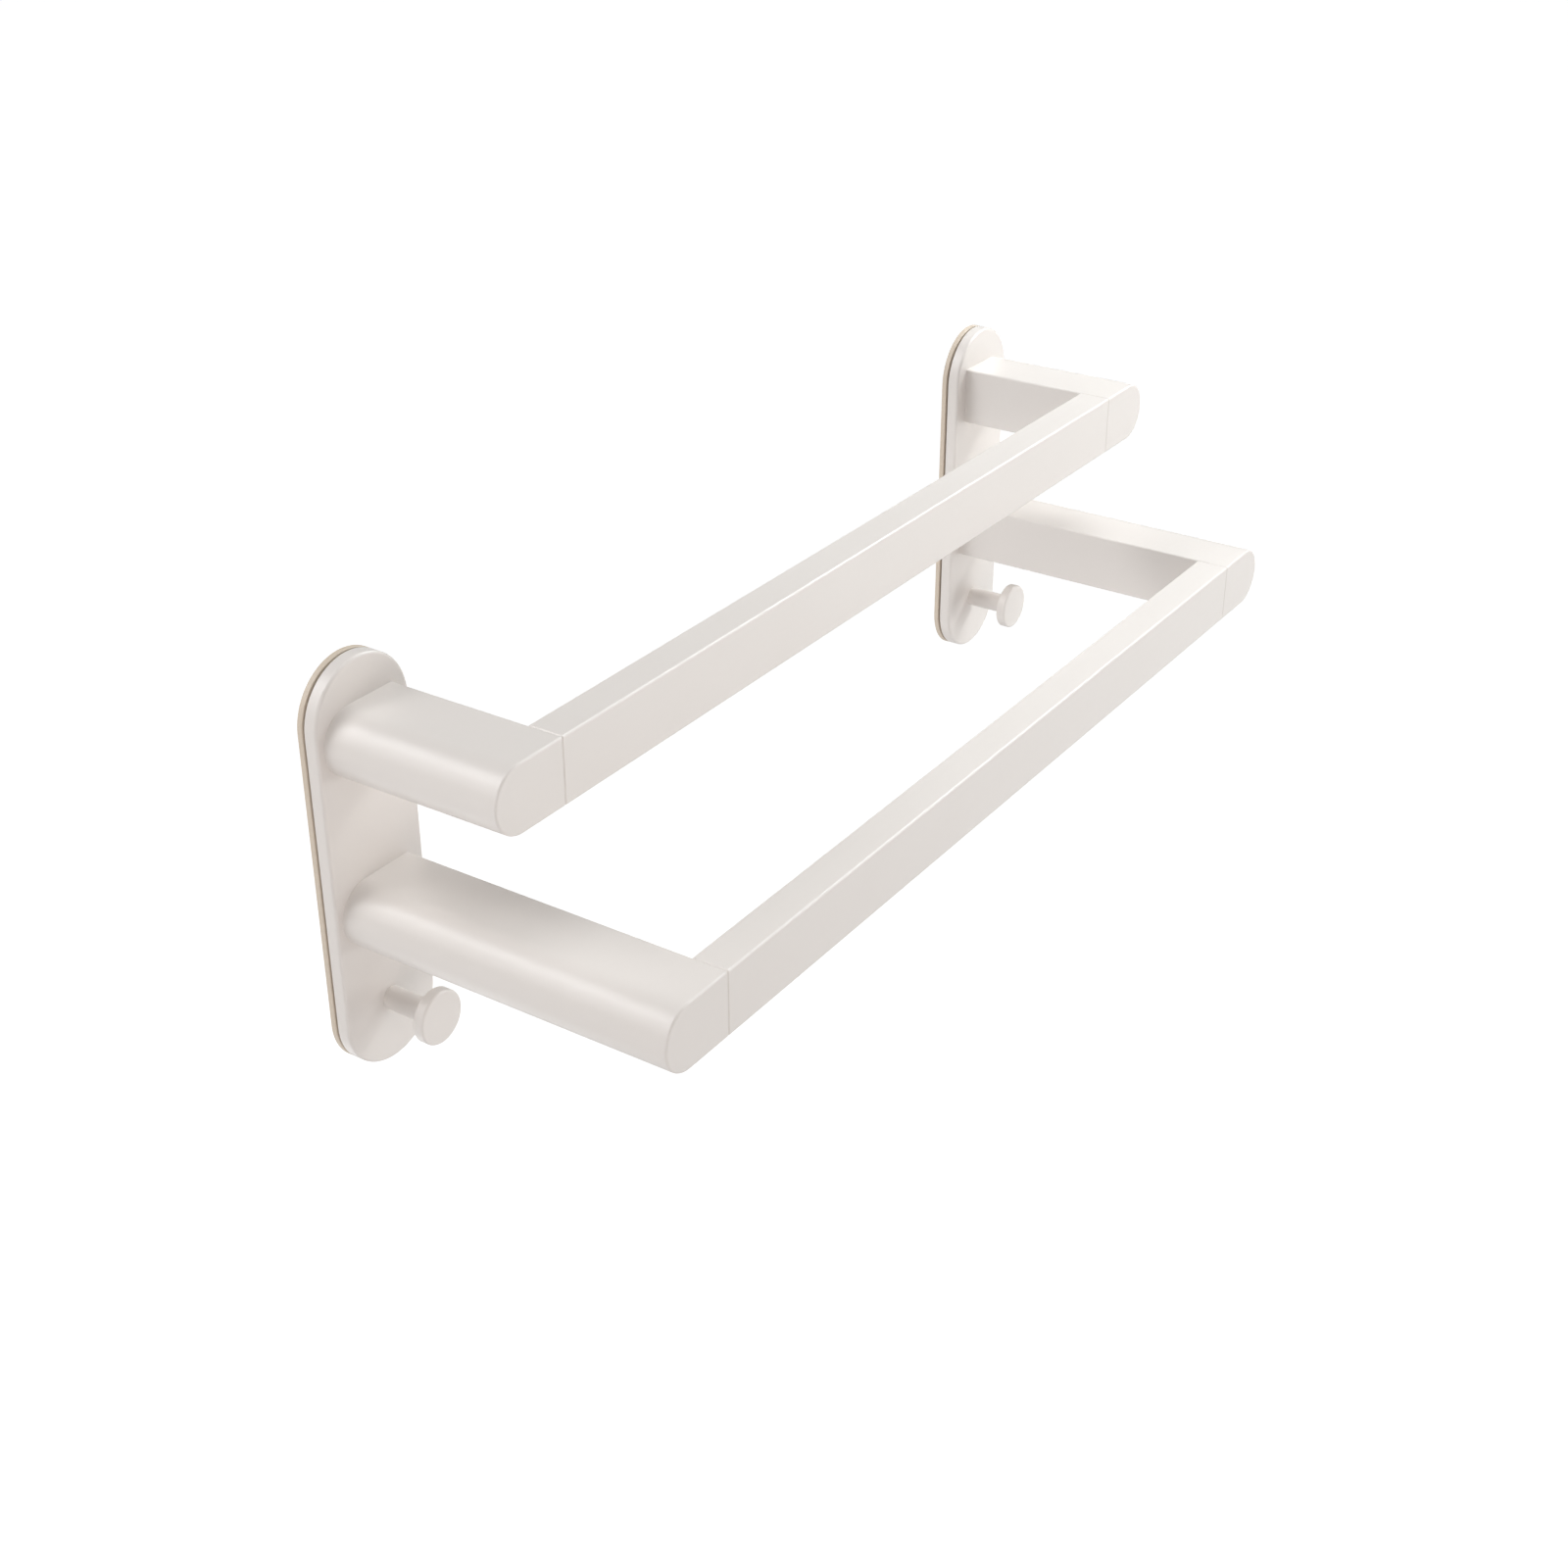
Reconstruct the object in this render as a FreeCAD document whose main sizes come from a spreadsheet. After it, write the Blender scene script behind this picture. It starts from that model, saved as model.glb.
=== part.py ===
"""Two-tier wall towel rack: plates, arms, rails and hooks that lift off a pair of wall brackets.

Frame: X runs along the rails, -Y points into the room and +Z up. The origin lies on the wall,
midway between the two base plates and at half their height. Lengths are millimetres.
"""
import FreeCAD
import Part
import Sketcher
import math
import os

V = FreeCAD.Vector
FULL_TURN = 360
HALF_TURN = 180
QUARTER_TURN = 90
HEX_SIDES = 6
NEAR_SHARE = 1e-4

# Driving sizes: name, value and what it measures
SIZES = (
    ("rack_length", 500, "over the outer edges of the two base plates"),
    ("top_margin", 16.5, "base plate above the upper arm"),
    ("tier_drop", 71.5, "top of the upper arm to top of the lower arm"),
    ("hook_drop", 29.5, "underside of the lower arm to the hook's axis"),
    ("foot_margin", 27, "base plate below the hook's axis"),
    ("plate_thickness", 5.5, "base plate, back to face"),
    ("plate_edge_round", 1.2, "round on the front edge of the base plate"),
    ("bracket_thickness", 2.3, "wall bracket"),
    ("bracket_edge_round", 0.4, "round on the front edge of the wall bracket"),
    ("shadow_gap", 1.2, "between wall bracket and base plate"),
    ("liner_inset", 2.5, "edge of the base plate to edge of the liner"),
    ("liner_clearance", 0.1, "liner to base plate"),
    ("liner_room", 0.5, "liner window to what passes through it"),
    ("wall_hole_diameter", 5.2, "wall screw hole"),
    ("wall_hole_spacing", 100, "upper to lower wall screw hole"),
    ("wall_sink", 1.2, "bevel round a wall screw hole"),
    ("arm_width", 37, "arm, flat side to round side"),
    ("arm_height", 27.5, "arms and rails"),
    ("arm_outer_margin", 3, "round side of an arm to outer edge of the base plate"),
    ("arm_inner_margin", 8, "flat side of an arm to inner edge of the base plate"),
    ("upper_reach", 78.5, "base plate to front of the upper arm"),
    ("lower_reach", 147, "base plate to front of the lower arm"),
    ("arm_edge_round", 0.9, "front and inner edges of an arm"),
    ("arm_wall", 3, "wall round the hollow core of an arm"),
    ("arm_front_block", 24, "solid front end of an arm"),
    ("arm_boss_diameter", 9, "screw boss in the core of an arm"),
    ("arm_screw_inset", 9.5, "flat side of an arm to its first screw"),
    ("arm_screw_spacing", 14, "first to second screw of an arm"),
    ("rail_depth", 15.5, "rail, back to front"),
    ("rail_wall", 1.5, "rail tube"),
    ("rail_edge_round", 0.9, "long edges of a rail"),
    ("rail_end_bevel", 0.4, "bevel round a rail's end"),
    ("rail_grub_inset", 7, "end of a rail to its grub screw"),
    ("joiner_length", 24, "joiner that plugs a rail's end"),
    ("joiner_clearance", 0.15, "joiner to rail"),
    ("joiner_head_recess", 9, "depth of the screw head recess in a joiner"),
    ("hook_reach", 25.5, "base plate to front of the hook's disc"),
    ("hook_stem_diameter", 9.5, "hook stem"),
    ("hook_disc_diameter", 22.5, "hook disc"),
    ("hook_disc_thickness", 5, "hook disc"),
    ("hook_edge_round", 0.9, "edges of the hook's disc"),
    ("pocket_skin", 1.5, "face of the base plate left in front of the cleat pocket"),
    ("keeper_thickness", 1.6, "lip of the base plate that hangs behind the cleat's lip"),
    ("cleat_width", 26, "hanger cleat"),
    ("cleat_stem_height", 8, "hanger cleat below its seat"),
    ("cleat_lip_height", 4, "hanger cleat above its seat, which the rack is lifted over"),
    ("cleat_clearance", 0.2, "cleat and lock tab to their pockets"),
    ("cleat_screw_spacing", 16, "screws of a hanger cleat"),
    ("lift_spare", 0.5, "room left in the pockets when the rack is lifted clear"),
    ("lock_tab_width", 16, "lock tab"),
    ("lock_tab_height", 4, "lock tab"),
    ("lock_rim", 7, "foot of the base plate below its lock pocket"),
    ("lock_screw_spacing", 9, "screws of a lock tab"),
    ("arm_screw_diameter", 5, "countersunk screw of an arm"),
    ("arm_screw_length", 14, "with its head"),
    ("arm_screw_head", 9.2, "head diameter"),
    ("arm_screw_socket", 3, "across the socket's flats"),
    ("arm_screw_socket_depth", 1.8, "socket"),
    ("hook_screw_diameter", 4, "countersunk screw of a hook"),
    ("hook_screw_length", 12, "with its head"),
    ("hook_screw_head", 7.5, "head diameter"),
    ("hook_screw_socket", 2.5, "across the socket's flats"),
    ("hook_screw_socket_depth", 1.5, "socket"),
    ("small_screw_diameter", 3, "countersunk screw of a cleat or lock tab"),
    ("small_screw_length", 5.5, "with its head"),
    ("small_screw_head", 5.5, "head diameter"),
    ("small_screw_socket", 2, "across the socket's flats"),
    ("small_screw_socket_depth", 1, "socket"),
    ("joiner_screw_diameter", 4, "cap screw of a joiner"),
    ("joiner_screw_length", 24, "under its head"),
    ("joiner_screw_head", 7, "head diameter"),
    ("joiner_screw_head_height", 4, "head"),
    ("joiner_screw_socket", 3, "across the socket's flats"),
    ("joiner_screw_socket_depth", 2, "socket"),
    ("rail_grub_diameter", 4, "grub screw of a rail"),
    ("rail_grub_length", 4, "with its tip"),
    ("rail_grub_tip", 1, "cone tip"),
    ("rail_grub_socket", 2, "across the socket's flats"),
    ("rail_grub_socket_depth", 1.5, "socket"),
    ("rail_grub_sink", 0.2, "grub screw below the surface of the rail"),
    ("lock_grub_diameter", 3, "grub screw in the foot of a base plate"),
    ("lock_grub_length", 6.5, "with its tip"),
    ("lock_grub_tip", 0.8, "cone tip"),
    ("lock_grub_socket", 1.5, "across the socket's flats"),
    ("lock_grub_socket_depth", 1.5, "socket"),
    ("screw_clearance", 0.15, "screw in a plain hole"),
    ("thread_clearance", 0.05, "screw in a threaded hole"),
    ("screw_tip_room", 1.5, "threaded hole past the tip of its screw"),
    ("cut_overrun", 1, "how far a cut starts outside what it cuts"),
)

# Sizes and places that follow from the driving sizes
PLACES = (
    ("plate_width", "Sizes.arm_width + Sizes.arm_outer_margin + Sizes.arm_inner_margin"),
    ("hook_depth", "Sizes.top_margin + Sizes.tier_drop + Sizes.arm_height + Sizes.hook_drop"),
    ("plate_height", "hook_depth + Sizes.foot_margin"),
    ("plate_end_radius", "plate_width / 2"),
    ("plate_end_rise", "plate_height / 2 - plate_end_radius"),
    ("plate_shift", "Sizes.rack_length / 2 - plate_end_radius"),
    ("plate_back", "Sizes.bracket_thickness + Sizes.shadow_gap"),
    ("plate_face", "plate_back + Sizes.plate_thickness"),
    ("plate_foot", "plate_height / 2"),
    ("upper_arm_rise", "plate_height / 2 - Sizes.top_margin - Sizes.arm_height / 2"),
    ("lower_arm_rise", "upper_arm_rise - Sizes.tier_drop"),
    ("hook_rise", "plate_height / 2 - hook_depth"),
    ("arm_flat_shift", "Sizes.rack_length / 2 - Sizes.arm_outer_margin - Sizes.arm_width"),
    ("arm_radius", "Sizes.arm_height / 2"),
    ("arm_round_inset", "Sizes.arm_width - arm_radius"),
    ("arm_core_height", "Sizes.arm_height - 2 * Sizes.arm_wall"),
    ("arm_core_radius", "arm_core_height / 2"),
    ("arm_boss_radius", "Sizes.arm_boss_diameter / 2"),
    ("arm_second_inset", "Sizes.arm_screw_inset + Sizes.arm_screw_spacing"),
    ("arm_tap_depth", "Sizes.arm_screw_length - Sizes.plate_thickness + Sizes.screw_tip_room"),
    ("upper_core_depth", "Sizes.upper_reach - Sizes.arm_front_block"),
    ("lower_core_depth", "Sizes.lower_reach - Sizes.arm_front_block"),
    ("upper_rail_reach", "Sizes.upper_reach - Sizes.rail_depth / 2"),
    ("lower_rail_reach", "Sizes.lower_reach - Sizes.rail_depth / 2"),
    ("upper_rail_out", "plate_face + upper_rail_reach"),
    ("lower_rail_out", "plate_face + lower_rail_reach"),
    ("rail_length", "2 * arm_flat_shift"),
    ("rail_half_depth", "Sizes.rail_depth / 2"),
    ("rail_bore_half_depth", "rail_half_depth - Sizes.rail_wall"),
    ("rail_bore_half_height", "arm_radius - Sizes.rail_wall"),
    ("rail_far_grub", "rail_length - Sizes.rail_grub_inset"),
    ("rail_grub_shift", "arm_flat_shift - Sizes.rail_grub_inset"),
    ("joiner_half_depth", "rail_bore_half_depth - Sizes.joiner_clearance"),
    ("joiner_half_height", "rail_bore_half_height - Sizes.joiner_clearance"),
    ("joiner_screw_rise", "joiner_half_height / 2"),
    ("joiner_grip", "Sizes.joiner_length - Sizes.joiner_head_recess"),
    ("joiner_seat_shift", "arm_flat_shift - joiner_grip"),
    ("joiner_tap_depth", "Sizes.joiner_screw_length - joiner_grip + Sizes.screw_tip_room"),
    ("joiner_hole_radius", "Sizes.joiner_screw_diameter / 2 + Sizes.screw_clearance"),
    ("joiner_tap_radius", "Sizes.joiner_screw_diameter / 2 + Sizes.thread_clearance"),
    ("joiner_recess_radius", "Sizes.joiner_screw_head / 2 + Sizes.screw_clearance"),
    ("rail_grub_hole_radius", "Sizes.rail_grub_diameter / 2 + Sizes.screw_clearance"),
    ("rail_grub_tap_radius", "Sizes.rail_grub_diameter / 2 + Sizes.thread_clearance"),
    ("rail_grub_tap_depth", "Sizes.rail_grub_length + Sizes.rail_grub_sink"),
    ("upper_rail_grub_rise", "upper_arm_rise - arm_radius + Sizes.rail_grub_sink"),
    ("lower_rail_grub_rise", "lower_arm_rise - arm_radius + Sizes.rail_grub_sink"),
    ("hook_stem_radius", "Sizes.hook_stem_diameter / 2"),
    ("hook_disc_radius", "Sizes.hook_disc_diameter / 2"),
    ("hook_stem_length", "Sizes.hook_reach - Sizes.hook_disc_thickness"),
    ("hook_tap_depth", "Sizes.hook_screw_length - Sizes.plate_thickness + Sizes.screw_tip_room"),
    ("arm_first_across", "Sizes.arm_screw_inset + Sizes.arm_inner_margin - plate_end_radius"),
    ("arm_second_across", "arm_first_across + Sizes.arm_screw_spacing"),
    ("arm_hole_radius", "Sizes.arm_screw_diameter / 2 + Sizes.screw_clearance"),
    ("arm_tap_radius", "Sizes.arm_screw_diameter / 2 + Sizes.thread_clearance"),
    ("arm_screw_sink", "(Sizes.arm_screw_head - Sizes.arm_screw_diameter) / 2"),
    ("hook_hole_radius", "Sizes.hook_screw_diameter / 2 + Sizes.screw_clearance"),
    ("hook_tap_radius", "Sizes.hook_screw_diameter / 2 + Sizes.thread_clearance"),
    ("hook_screw_sink", "(Sizes.hook_screw_head - Sizes.hook_screw_diameter) / 2"),
    ("small_hole_radius", "Sizes.small_screw_diameter / 2 + Sizes.screw_clearance"),
    ("small_tap_radius", "Sizes.small_screw_diameter / 2 + Sizes.thread_clearance"),
    ("small_screw_sink", "(Sizes.small_screw_head - Sizes.small_screw_diameter) / 2"),
    ("small_tap_depth", "Sizes.small_screw_length - Sizes.bracket_thickness + Sizes.screw_tip_room"),
    ("wall_hole_radius", "Sizes.wall_hole_diameter / 2"),
    ("wall_hole_rise", "Sizes.wall_hole_spacing / 2"),
    ("wall_window_radius", "wall_hole_radius + Sizes.wall_sink + Sizes.liner_room"),
    ("lift_room", "Sizes.cleat_lip_height + Sizes.lift_spare"),
    ("cleat_pocket_depth", "Sizes.plate_thickness - Sizes.pocket_skin"),
    ("cleat_slot_depth", "cleat_pocket_depth - Sizes.keeper_thickness"),
    ("cleat_half_width", "Sizes.cleat_width / 2"),
    ("cleat_pocket_half_width", "cleat_half_width + Sizes.cleat_clearance"),
    ("cleat_seat_rise", "(upper_arm_rise + lower_arm_rise) / 2 + Sizes.cleat_stem_height / 2"),
    ("cleat_foot_rise", "cleat_seat_rise - Sizes.cleat_stem_height"),
    ("cleat_pocket_floor", "cleat_foot_rise - lift_room"),
    ("cleat_slot_top", "cleat_seat_rise + Sizes.cleat_lip_height + Sizes.cleat_clearance"),
    ("cleat_reach", "Sizes.shadow_gap + cleat_pocket_depth - Sizes.cleat_clearance"),
    ("cleat_lip_back", "Sizes.shadow_gap + Sizes.keeper_thickness + Sizes.cleat_clearance"),
    ("cleat_screw_across", "Sizes.cleat_screw_spacing / 2"),
    ("cleat_screw_drop", "Sizes.cleat_stem_height / 2"),
    ("cleat_screw_rise", "cleat_seat_rise - cleat_screw_drop"),
    ("cleat_window_half_width", "cleat_half_width + Sizes.liner_room"),
    ("cleat_window_floor", "cleat_foot_rise - Sizes.liner_room"),
    ("cleat_window_top", "cleat_seat_rise + Sizes.liner_room"),
    ("lock_pocket_depth", "(Sizes.plate_thickness + Sizes.lock_grub_diameter) / 2 + Sizes.cleat_clearance"),
    ("lock_pocket_floor", "Sizes.lock_rim - plate_foot"),
    ("lock_tab_floor", "lock_pocket_floor + lift_room"),
    ("lock_tab_top", "lock_tab_floor + Sizes.lock_tab_height"),
    ("lock_pocket_top", "lock_tab_top + Sizes.cleat_clearance"),
    ("lock_tab_half_width", "Sizes.lock_tab_width / 2"),
    ("lock_pocket_half_width", "lock_tab_half_width + Sizes.cleat_clearance"),
    ("lock_tab_reach", "Sizes.shadow_gap + lock_pocket_depth - Sizes.cleat_clearance"),
    ("lock_screw_across", "Sizes.lock_screw_spacing / 2"),
    ("lock_screw_rise", "lock_tab_floor + Sizes.lock_tab_height / 2"),
    ("lock_window_half_width", "lock_tab_half_width + Sizes.liner_room"),
    ("lock_window_floor", "lock_tab_floor - Sizes.liner_room"),
    ("lock_window_top", "lock_tab_top + Sizes.liner_room"),
    ("lock_grub_back", "Sizes.plate_thickness / 2"),
    ("lock_grub_out", "plate_back + lock_grub_back"),
    ("lock_grub_tap_radius", "Sizes.lock_grub_diameter / 2 + Sizes.thread_clearance"),
    ("lock_grub_rise", "lock_pocket_floor - Sizes.lock_grub_length"),
    ("liner_radius", "plate_end_radius - Sizes.liner_inset"),
    ("liner_thickness", "Sizes.shadow_gap - Sizes.liner_clearance"),
)

# Sign of X on each side, written as the front of an expression
SIDES = {"left": "-", "right": ""}
TIERS = ("upper", "lower")

doc = FreeCAD.newDocument("TowelRack")
nodes = []


def fill_sheets():
    """Writes the driving sizes as plain numbers, and the sizes that follow as formulas, each with an alias."""
    sizes = doc.addObject("Spreadsheet::Sheet", "Sizes")
    for row, (alias, size, note) in enumerate(SIZES, 1):
        sizes.set(f"A{row}", alias)
        sizes.set(f"B{row}", str(size))
        sizes.set(f"C{row}", note)
        sizes.setAlias(f"B{row}", alias)
    doc.recompute()
    places = doc.addObject("Spreadsheet::Sheet", "Places")
    for row, (alias, formula) in enumerate(PLACES, 1):
        places.set(f"A{row}", alias)
        places.set(f"B{row}", "=" + formula)
        places.setAlias(f"B{row}", alias)
        doc.recompute()


def number(text):
    """Value of "0" or of a sheet name with an optional minus, such as "-Places.plate_back"."""
    if text == "0":
        return 0.0
    sign = -1.0 if text.startswith("-") else 1.0
    sheet, alias = text.lstrip("-").split(".")
    return sign * float(getattr(doc.getObject(sheet), alias))


def near(first, second):
    """True where two lengths agree to a small share of the base plate's thickness."""
    return abs(first - second) < NEAR_SHARE * number("Sizes.plate_thickness")


def flip(text):
    """The same length the other way."""
    return text[1:] if text.startswith("-") else "-" + text


def new_body(label):
    """A body that becomes a node of its own."""
    body = doc.addObject("PartDesign::Body", label)
    nodes.append(body)
    return body


def origin_feature(body, role):
    """Plane or axis of the body's own origin."""
    return next(feature for feature in body.Origin.OriginFeatures if feature.Role == role)


def new_sketch(body, name, plane, offset=None):
    """Sketch on a plane of the body's origin, or offset from it along the plane's normal."""
    sketch = body.newObject("Sketcher::SketchObject", name)
    sketch.AttachmentSupport = [(origin_feature(body, plane), "")]
    sketch.MapMode = "FlatFace"
    if offset:
        sketch.setExpression("AttachmentOffset.Base.z", offset)
    return sketch


def bind(sketch, constraint, text):
    """Adds a constraint whose value follows the sheets."""
    index = sketch.addConstraint(constraint)
    sketch.setExpression(f"Constraints[{index}]", text)


def locate(sketch, geometry, point, across, up):
    """Ties a point of the sketch to its distances from the sketch's origin."""
    for kind, axis, text in (("DistanceX", -2, across), ("DistanceY", -1, up)):
        if text == "0":
            sketch.addConstraint(Sketcher.Constraint("PointOnObject", geometry, point, axis))
        else:
            bind(sketch, Sketcher.Constraint(kind, -1, 1, geometry, point, number(text)), text)


def draw_circle(sketch, across, up, radius):
    """Circle about a point."""
    centre = V(number(across), number(up), 0)
    circle = sketch.addGeometry(Part.Circle(centre, V(0, 0, 1), number(radius)))
    locate(sketch, circle, 3, across, up)
    bind(sketch, Sketcher.Constraint("Radius", circle, number(radius)), radius)


def draw_polygon(sketch, corners):
    """Closed outline of straight lines."""
    points = [V(number(across), number(up), 0) for across, up in corners]
    lines = []
    for start, end in zip(points, points[1:] + points[:1]):
        lines.append(sketch.addGeometry(Part.LineSegment(start, end)))
    for line, following in zip(lines, lines[1:] + lines[:1]):
        sketch.addConstraint(Sketcher.Constraint("Coincident", line, 2, following, 1))
    for line, (across, up) in zip(lines, corners):
        locate(sketch, line, 1, across, up)


def draw_rectangle(sketch, half_width, floor, top):
    """Rectangle that is symmetric about the upright axis."""
    left = flip(half_width)
    draw_polygon(sketch, ((left, floor), (half_width, floor), (half_width, top), (left, top)))


def draw_obround(sketch, radius, rise):
    """Upright outline with straight sides and full round ends, centred on the origin."""
    r = number(radius)
    z = number(rise)
    normal = V(0, 0, 1)
    top = sketch.addGeometry(Part.ArcOfCircle(Part.Circle(V(0, z, 0), normal, r), 0, math.pi))
    left = sketch.addGeometry(Part.LineSegment(V(-r, z, 0), V(-r, -z, 0)))
    foot = sketch.addGeometry(Part.ArcOfCircle(Part.Circle(V(0, -z, 0), normal, r), math.pi, 2 * math.pi))
    right = sketch.addGeometry(Part.LineSegment(V(r, -z, 0), V(r, z, 0)))
    ring = (top, left, foot, right)
    for piece, following in zip(ring, ring[1:] + ring[:1]):
        sketch.addConstraint(Sketcher.Constraint("Tangent", piece, 2, following, 1))
    sketch.addConstraint(Sketcher.Constraint("Vertical", left))
    bind(sketch, Sketcher.Constraint("Radius", top, r), radius)
    locate(sketch, top, 3, "0", rise)
    locate(sketch, foot, 3, "0", flip(rise))


def draw_arm_section(sketch, flat_inset, round_inset, radius):
    """D outline: an upright flat, level top and bottom, and a half round at -X about round_inset."""
    flat = -number(flat_inset)
    centre = -number(round_inset)
    r = number(radius)
    top = sketch.addGeometry(Part.LineSegment(V(flat, r, 0), V(centre, r, 0)))
    circle = Part.Circle(V(centre, 0, 0), V(0, 0, 1), r)
    bend = sketch.addGeometry(Part.ArcOfCircle(circle, math.pi / 2, 3 * math.pi / 2))
    bottom = sketch.addGeometry(Part.LineSegment(V(centre, -r, 0), V(flat, -r, 0)))
    side = sketch.addGeometry(Part.LineSegment(V(flat, -r, 0), V(flat, r, 0)))
    sketch.addConstraint(Sketcher.Constraint("Tangent", top, 2, bend, 1))
    sketch.addConstraint(Sketcher.Constraint("Tangent", bend, 2, bottom, 1))
    sketch.addConstraint(Sketcher.Constraint("Coincident", bottom, 2, side, 1))
    sketch.addConstraint(Sketcher.Constraint("Coincident", side, 2, top, 1))
    sketch.addConstraint(Sketcher.Constraint("Horizontal", top))
    sketch.addConstraint(Sketcher.Constraint("Horizontal", bottom))
    sketch.addConstraint(Sketcher.Constraint("Vertical", side))
    bind(sketch, Sketcher.Constraint("Radius", bend, r), radius)
    locate(sketch, bend, 3, flip(round_inset), "0")
    if flat_inset == "0":
        sketch.addConstraint(Sketcher.Constraint("PointOnObject", side, 1, -2))
    else:
        bind(sketch, Sketcher.Constraint("DistanceX", -1, 1, side, 1, flat), flip(flat_inset))


def pad(body, sketch, length, symmetric=False):
    """Raises a sketch along its plane's normal, or to both sides of it."""
    feature = body.newObject("PartDesign::Pad", sketch.Name + "_pad")
    feature.Profile = sketch
    feature.setExpression("Length", length)
    if symmetric:
        feature.SideType = "Symmetric"
    doc.recompute()


def pocket(body, sketch, depth=None, along_normal=False):
    """Cuts a sketch into the body, right through where no depth is given."""
    before = body.Shape.Volume
    feature = body.newObject("PartDesign::Pocket", sketch.Name + "_cut")
    feature.Profile = sketch
    feature.Reversed = along_normal
    if depth:
        feature.setExpression("Length", depth)
    else:
        feature.Type = "ThroughAll"
    doc.recompute()
    if not body.Shape.Volume < before:
        raise RuntimeError(f"{feature.Name} cuts nothing from {body.Label}")


def edge_names(body, *tests):
    """Names of the edges of the body's last feature that pass every test."""
    names = []
    for index, edge in enumerate(body.Tip.Shape.Edges, 1):
        if all(test(edge) for test in tests):
            names.append(f"Edge{index}")
    return names


def level_at(axis, level):
    """Test for edges that lie in the plane where one coordinate has a given value."""

    def test(edge):
        box = edge.BoundBox
        return near(getattr(box, axis + "Min"), level) and near(getattr(box, axis + "Max"), level)

    return test


def rim_of(radius):
    """Test for round edges of a radius."""
    return lambda edge: isinstance(edge.Curve, Part.Circle) and near(edge.Curve.Radius, number(radius))


def dress(body, kind, name, edges, size_name, size):
    """Fillet or chamfer on edges of the body's last feature."""
    base = body.Tip
    feature = body.newObject("PartDesign::" + kind, name)
    feature.Base = (base, edges)
    feature.setExpression(size_name, size)
    doc.recompute()


def place(body, across="0", out="0", up="0", turn_axis=None):
    """Stands a body at its distances along X, towards the room and up, half turned about an axis if given."""
    if turn_axis:
        body.Placement = FreeCAD.Placement(V(0, 0, 0), FreeCAD.Rotation(turn_axis, HALF_TURN))
    for axis, text in (("x", across), ("y", flip(out) if out != "0" else out), ("z", up)):
        if text != "0":
            body.setExpression("Placement.Base." + axis, text)


def wall_bracket(side, sign):
    """Thin back plate with bevelled wall screw holes and countersunk holes for the cleat and the lock tab."""
    body = new_body(f"{side}_wall_bracket")
    outline = new_sketch(body, f"{side}_bracket_outline", "XZ_Plane")
    draw_obround(outline, "Places.plate_end_radius", "Places.plate_end_rise")
    pad(body, outline, "Sizes.bracket_thickness")
    at_front = level_at("Y", -number("Sizes.bracket_thickness"))
    rounds = edge_names(body, at_front)
    dress(body, "Fillet", f"{side}_bracket_round", rounds, "Radius", "Sizes.bracket_edge_round")
    wall_holes = new_sketch(body, f"{side}_wall_holes", "XZ_Plane")
    for rise in ("Places.wall_hole_rise", "-Places.wall_hole_rise"):
        draw_circle(wall_holes, "0", rise, "Places.wall_hole_radius")
    pocket(body, wall_holes, along_normal=True)
    sinks = edge_names(body, at_front, rim_of("Places.wall_hole_radius"))
    dress(body, "Chamfer", f"{side}_wall_sinks", sinks, "Size", "Sizes.wall_sink")
    small_holes = new_sketch(body, f"{side}_bracket_small_holes", "XZ_Plane")
    for across, rise in small_screw_places():
        draw_circle(small_holes, across, rise, "Places.small_hole_radius")
    pocket(body, small_holes, along_normal=True)
    sinks = edge_names(body, level_at("Y", 0), rim_of("Places.small_hole_radius"))
    dress(body, "Chamfer", f"{side}_bracket_small_sinks", sinks, "Size", "Places.small_screw_sink")
    place(body, across=sign + "Places.plate_shift")


def cleat_screw_places():
    """Where the screws of a hanger cleat go through a bracket."""
    return [(across, "Places.cleat_screw_rise") for across in two_ways("Places.cleat_screw_across")]


def lock_screw_places():
    """Where the screws of a lock tab go through a bracket."""
    return [(across, "Places.lock_screw_rise") for across in two_ways("Places.lock_screw_across")]


def small_screw_places():
    """Where all the small screws go through a bracket."""
    return cleat_screw_places() + lock_screw_places()


def two_ways(text):
    """A length to both sides."""
    return (flip(text), text)


def bracket_liner(side, sign):
    """Soft liner in the shadow gap, with windows for the cleat, the lock tab and the wall screws."""
    body = new_body(f"{side}_bracket_liner")
    outline = new_sketch(body, f"{side}_liner_outline", "XZ_Plane")
    draw_obround(outline, "Places.liner_radius", "Places.plate_end_rise")
    for window in ("Places.cleat_window", "Places.lock_window"):
        draw_rectangle(outline, window + "_half_width", window + "_floor", window + "_top")
    for rise in ("Places.wall_hole_rise", "-Places.wall_hole_rise"):
        draw_circle(outline, "0", rise, "Places.wall_window_radius")
    pad(body, outline, "Places.liner_thickness")
    place(body, across=sign + "Places.plate_shift", out="Sizes.bracket_thickness")


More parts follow.
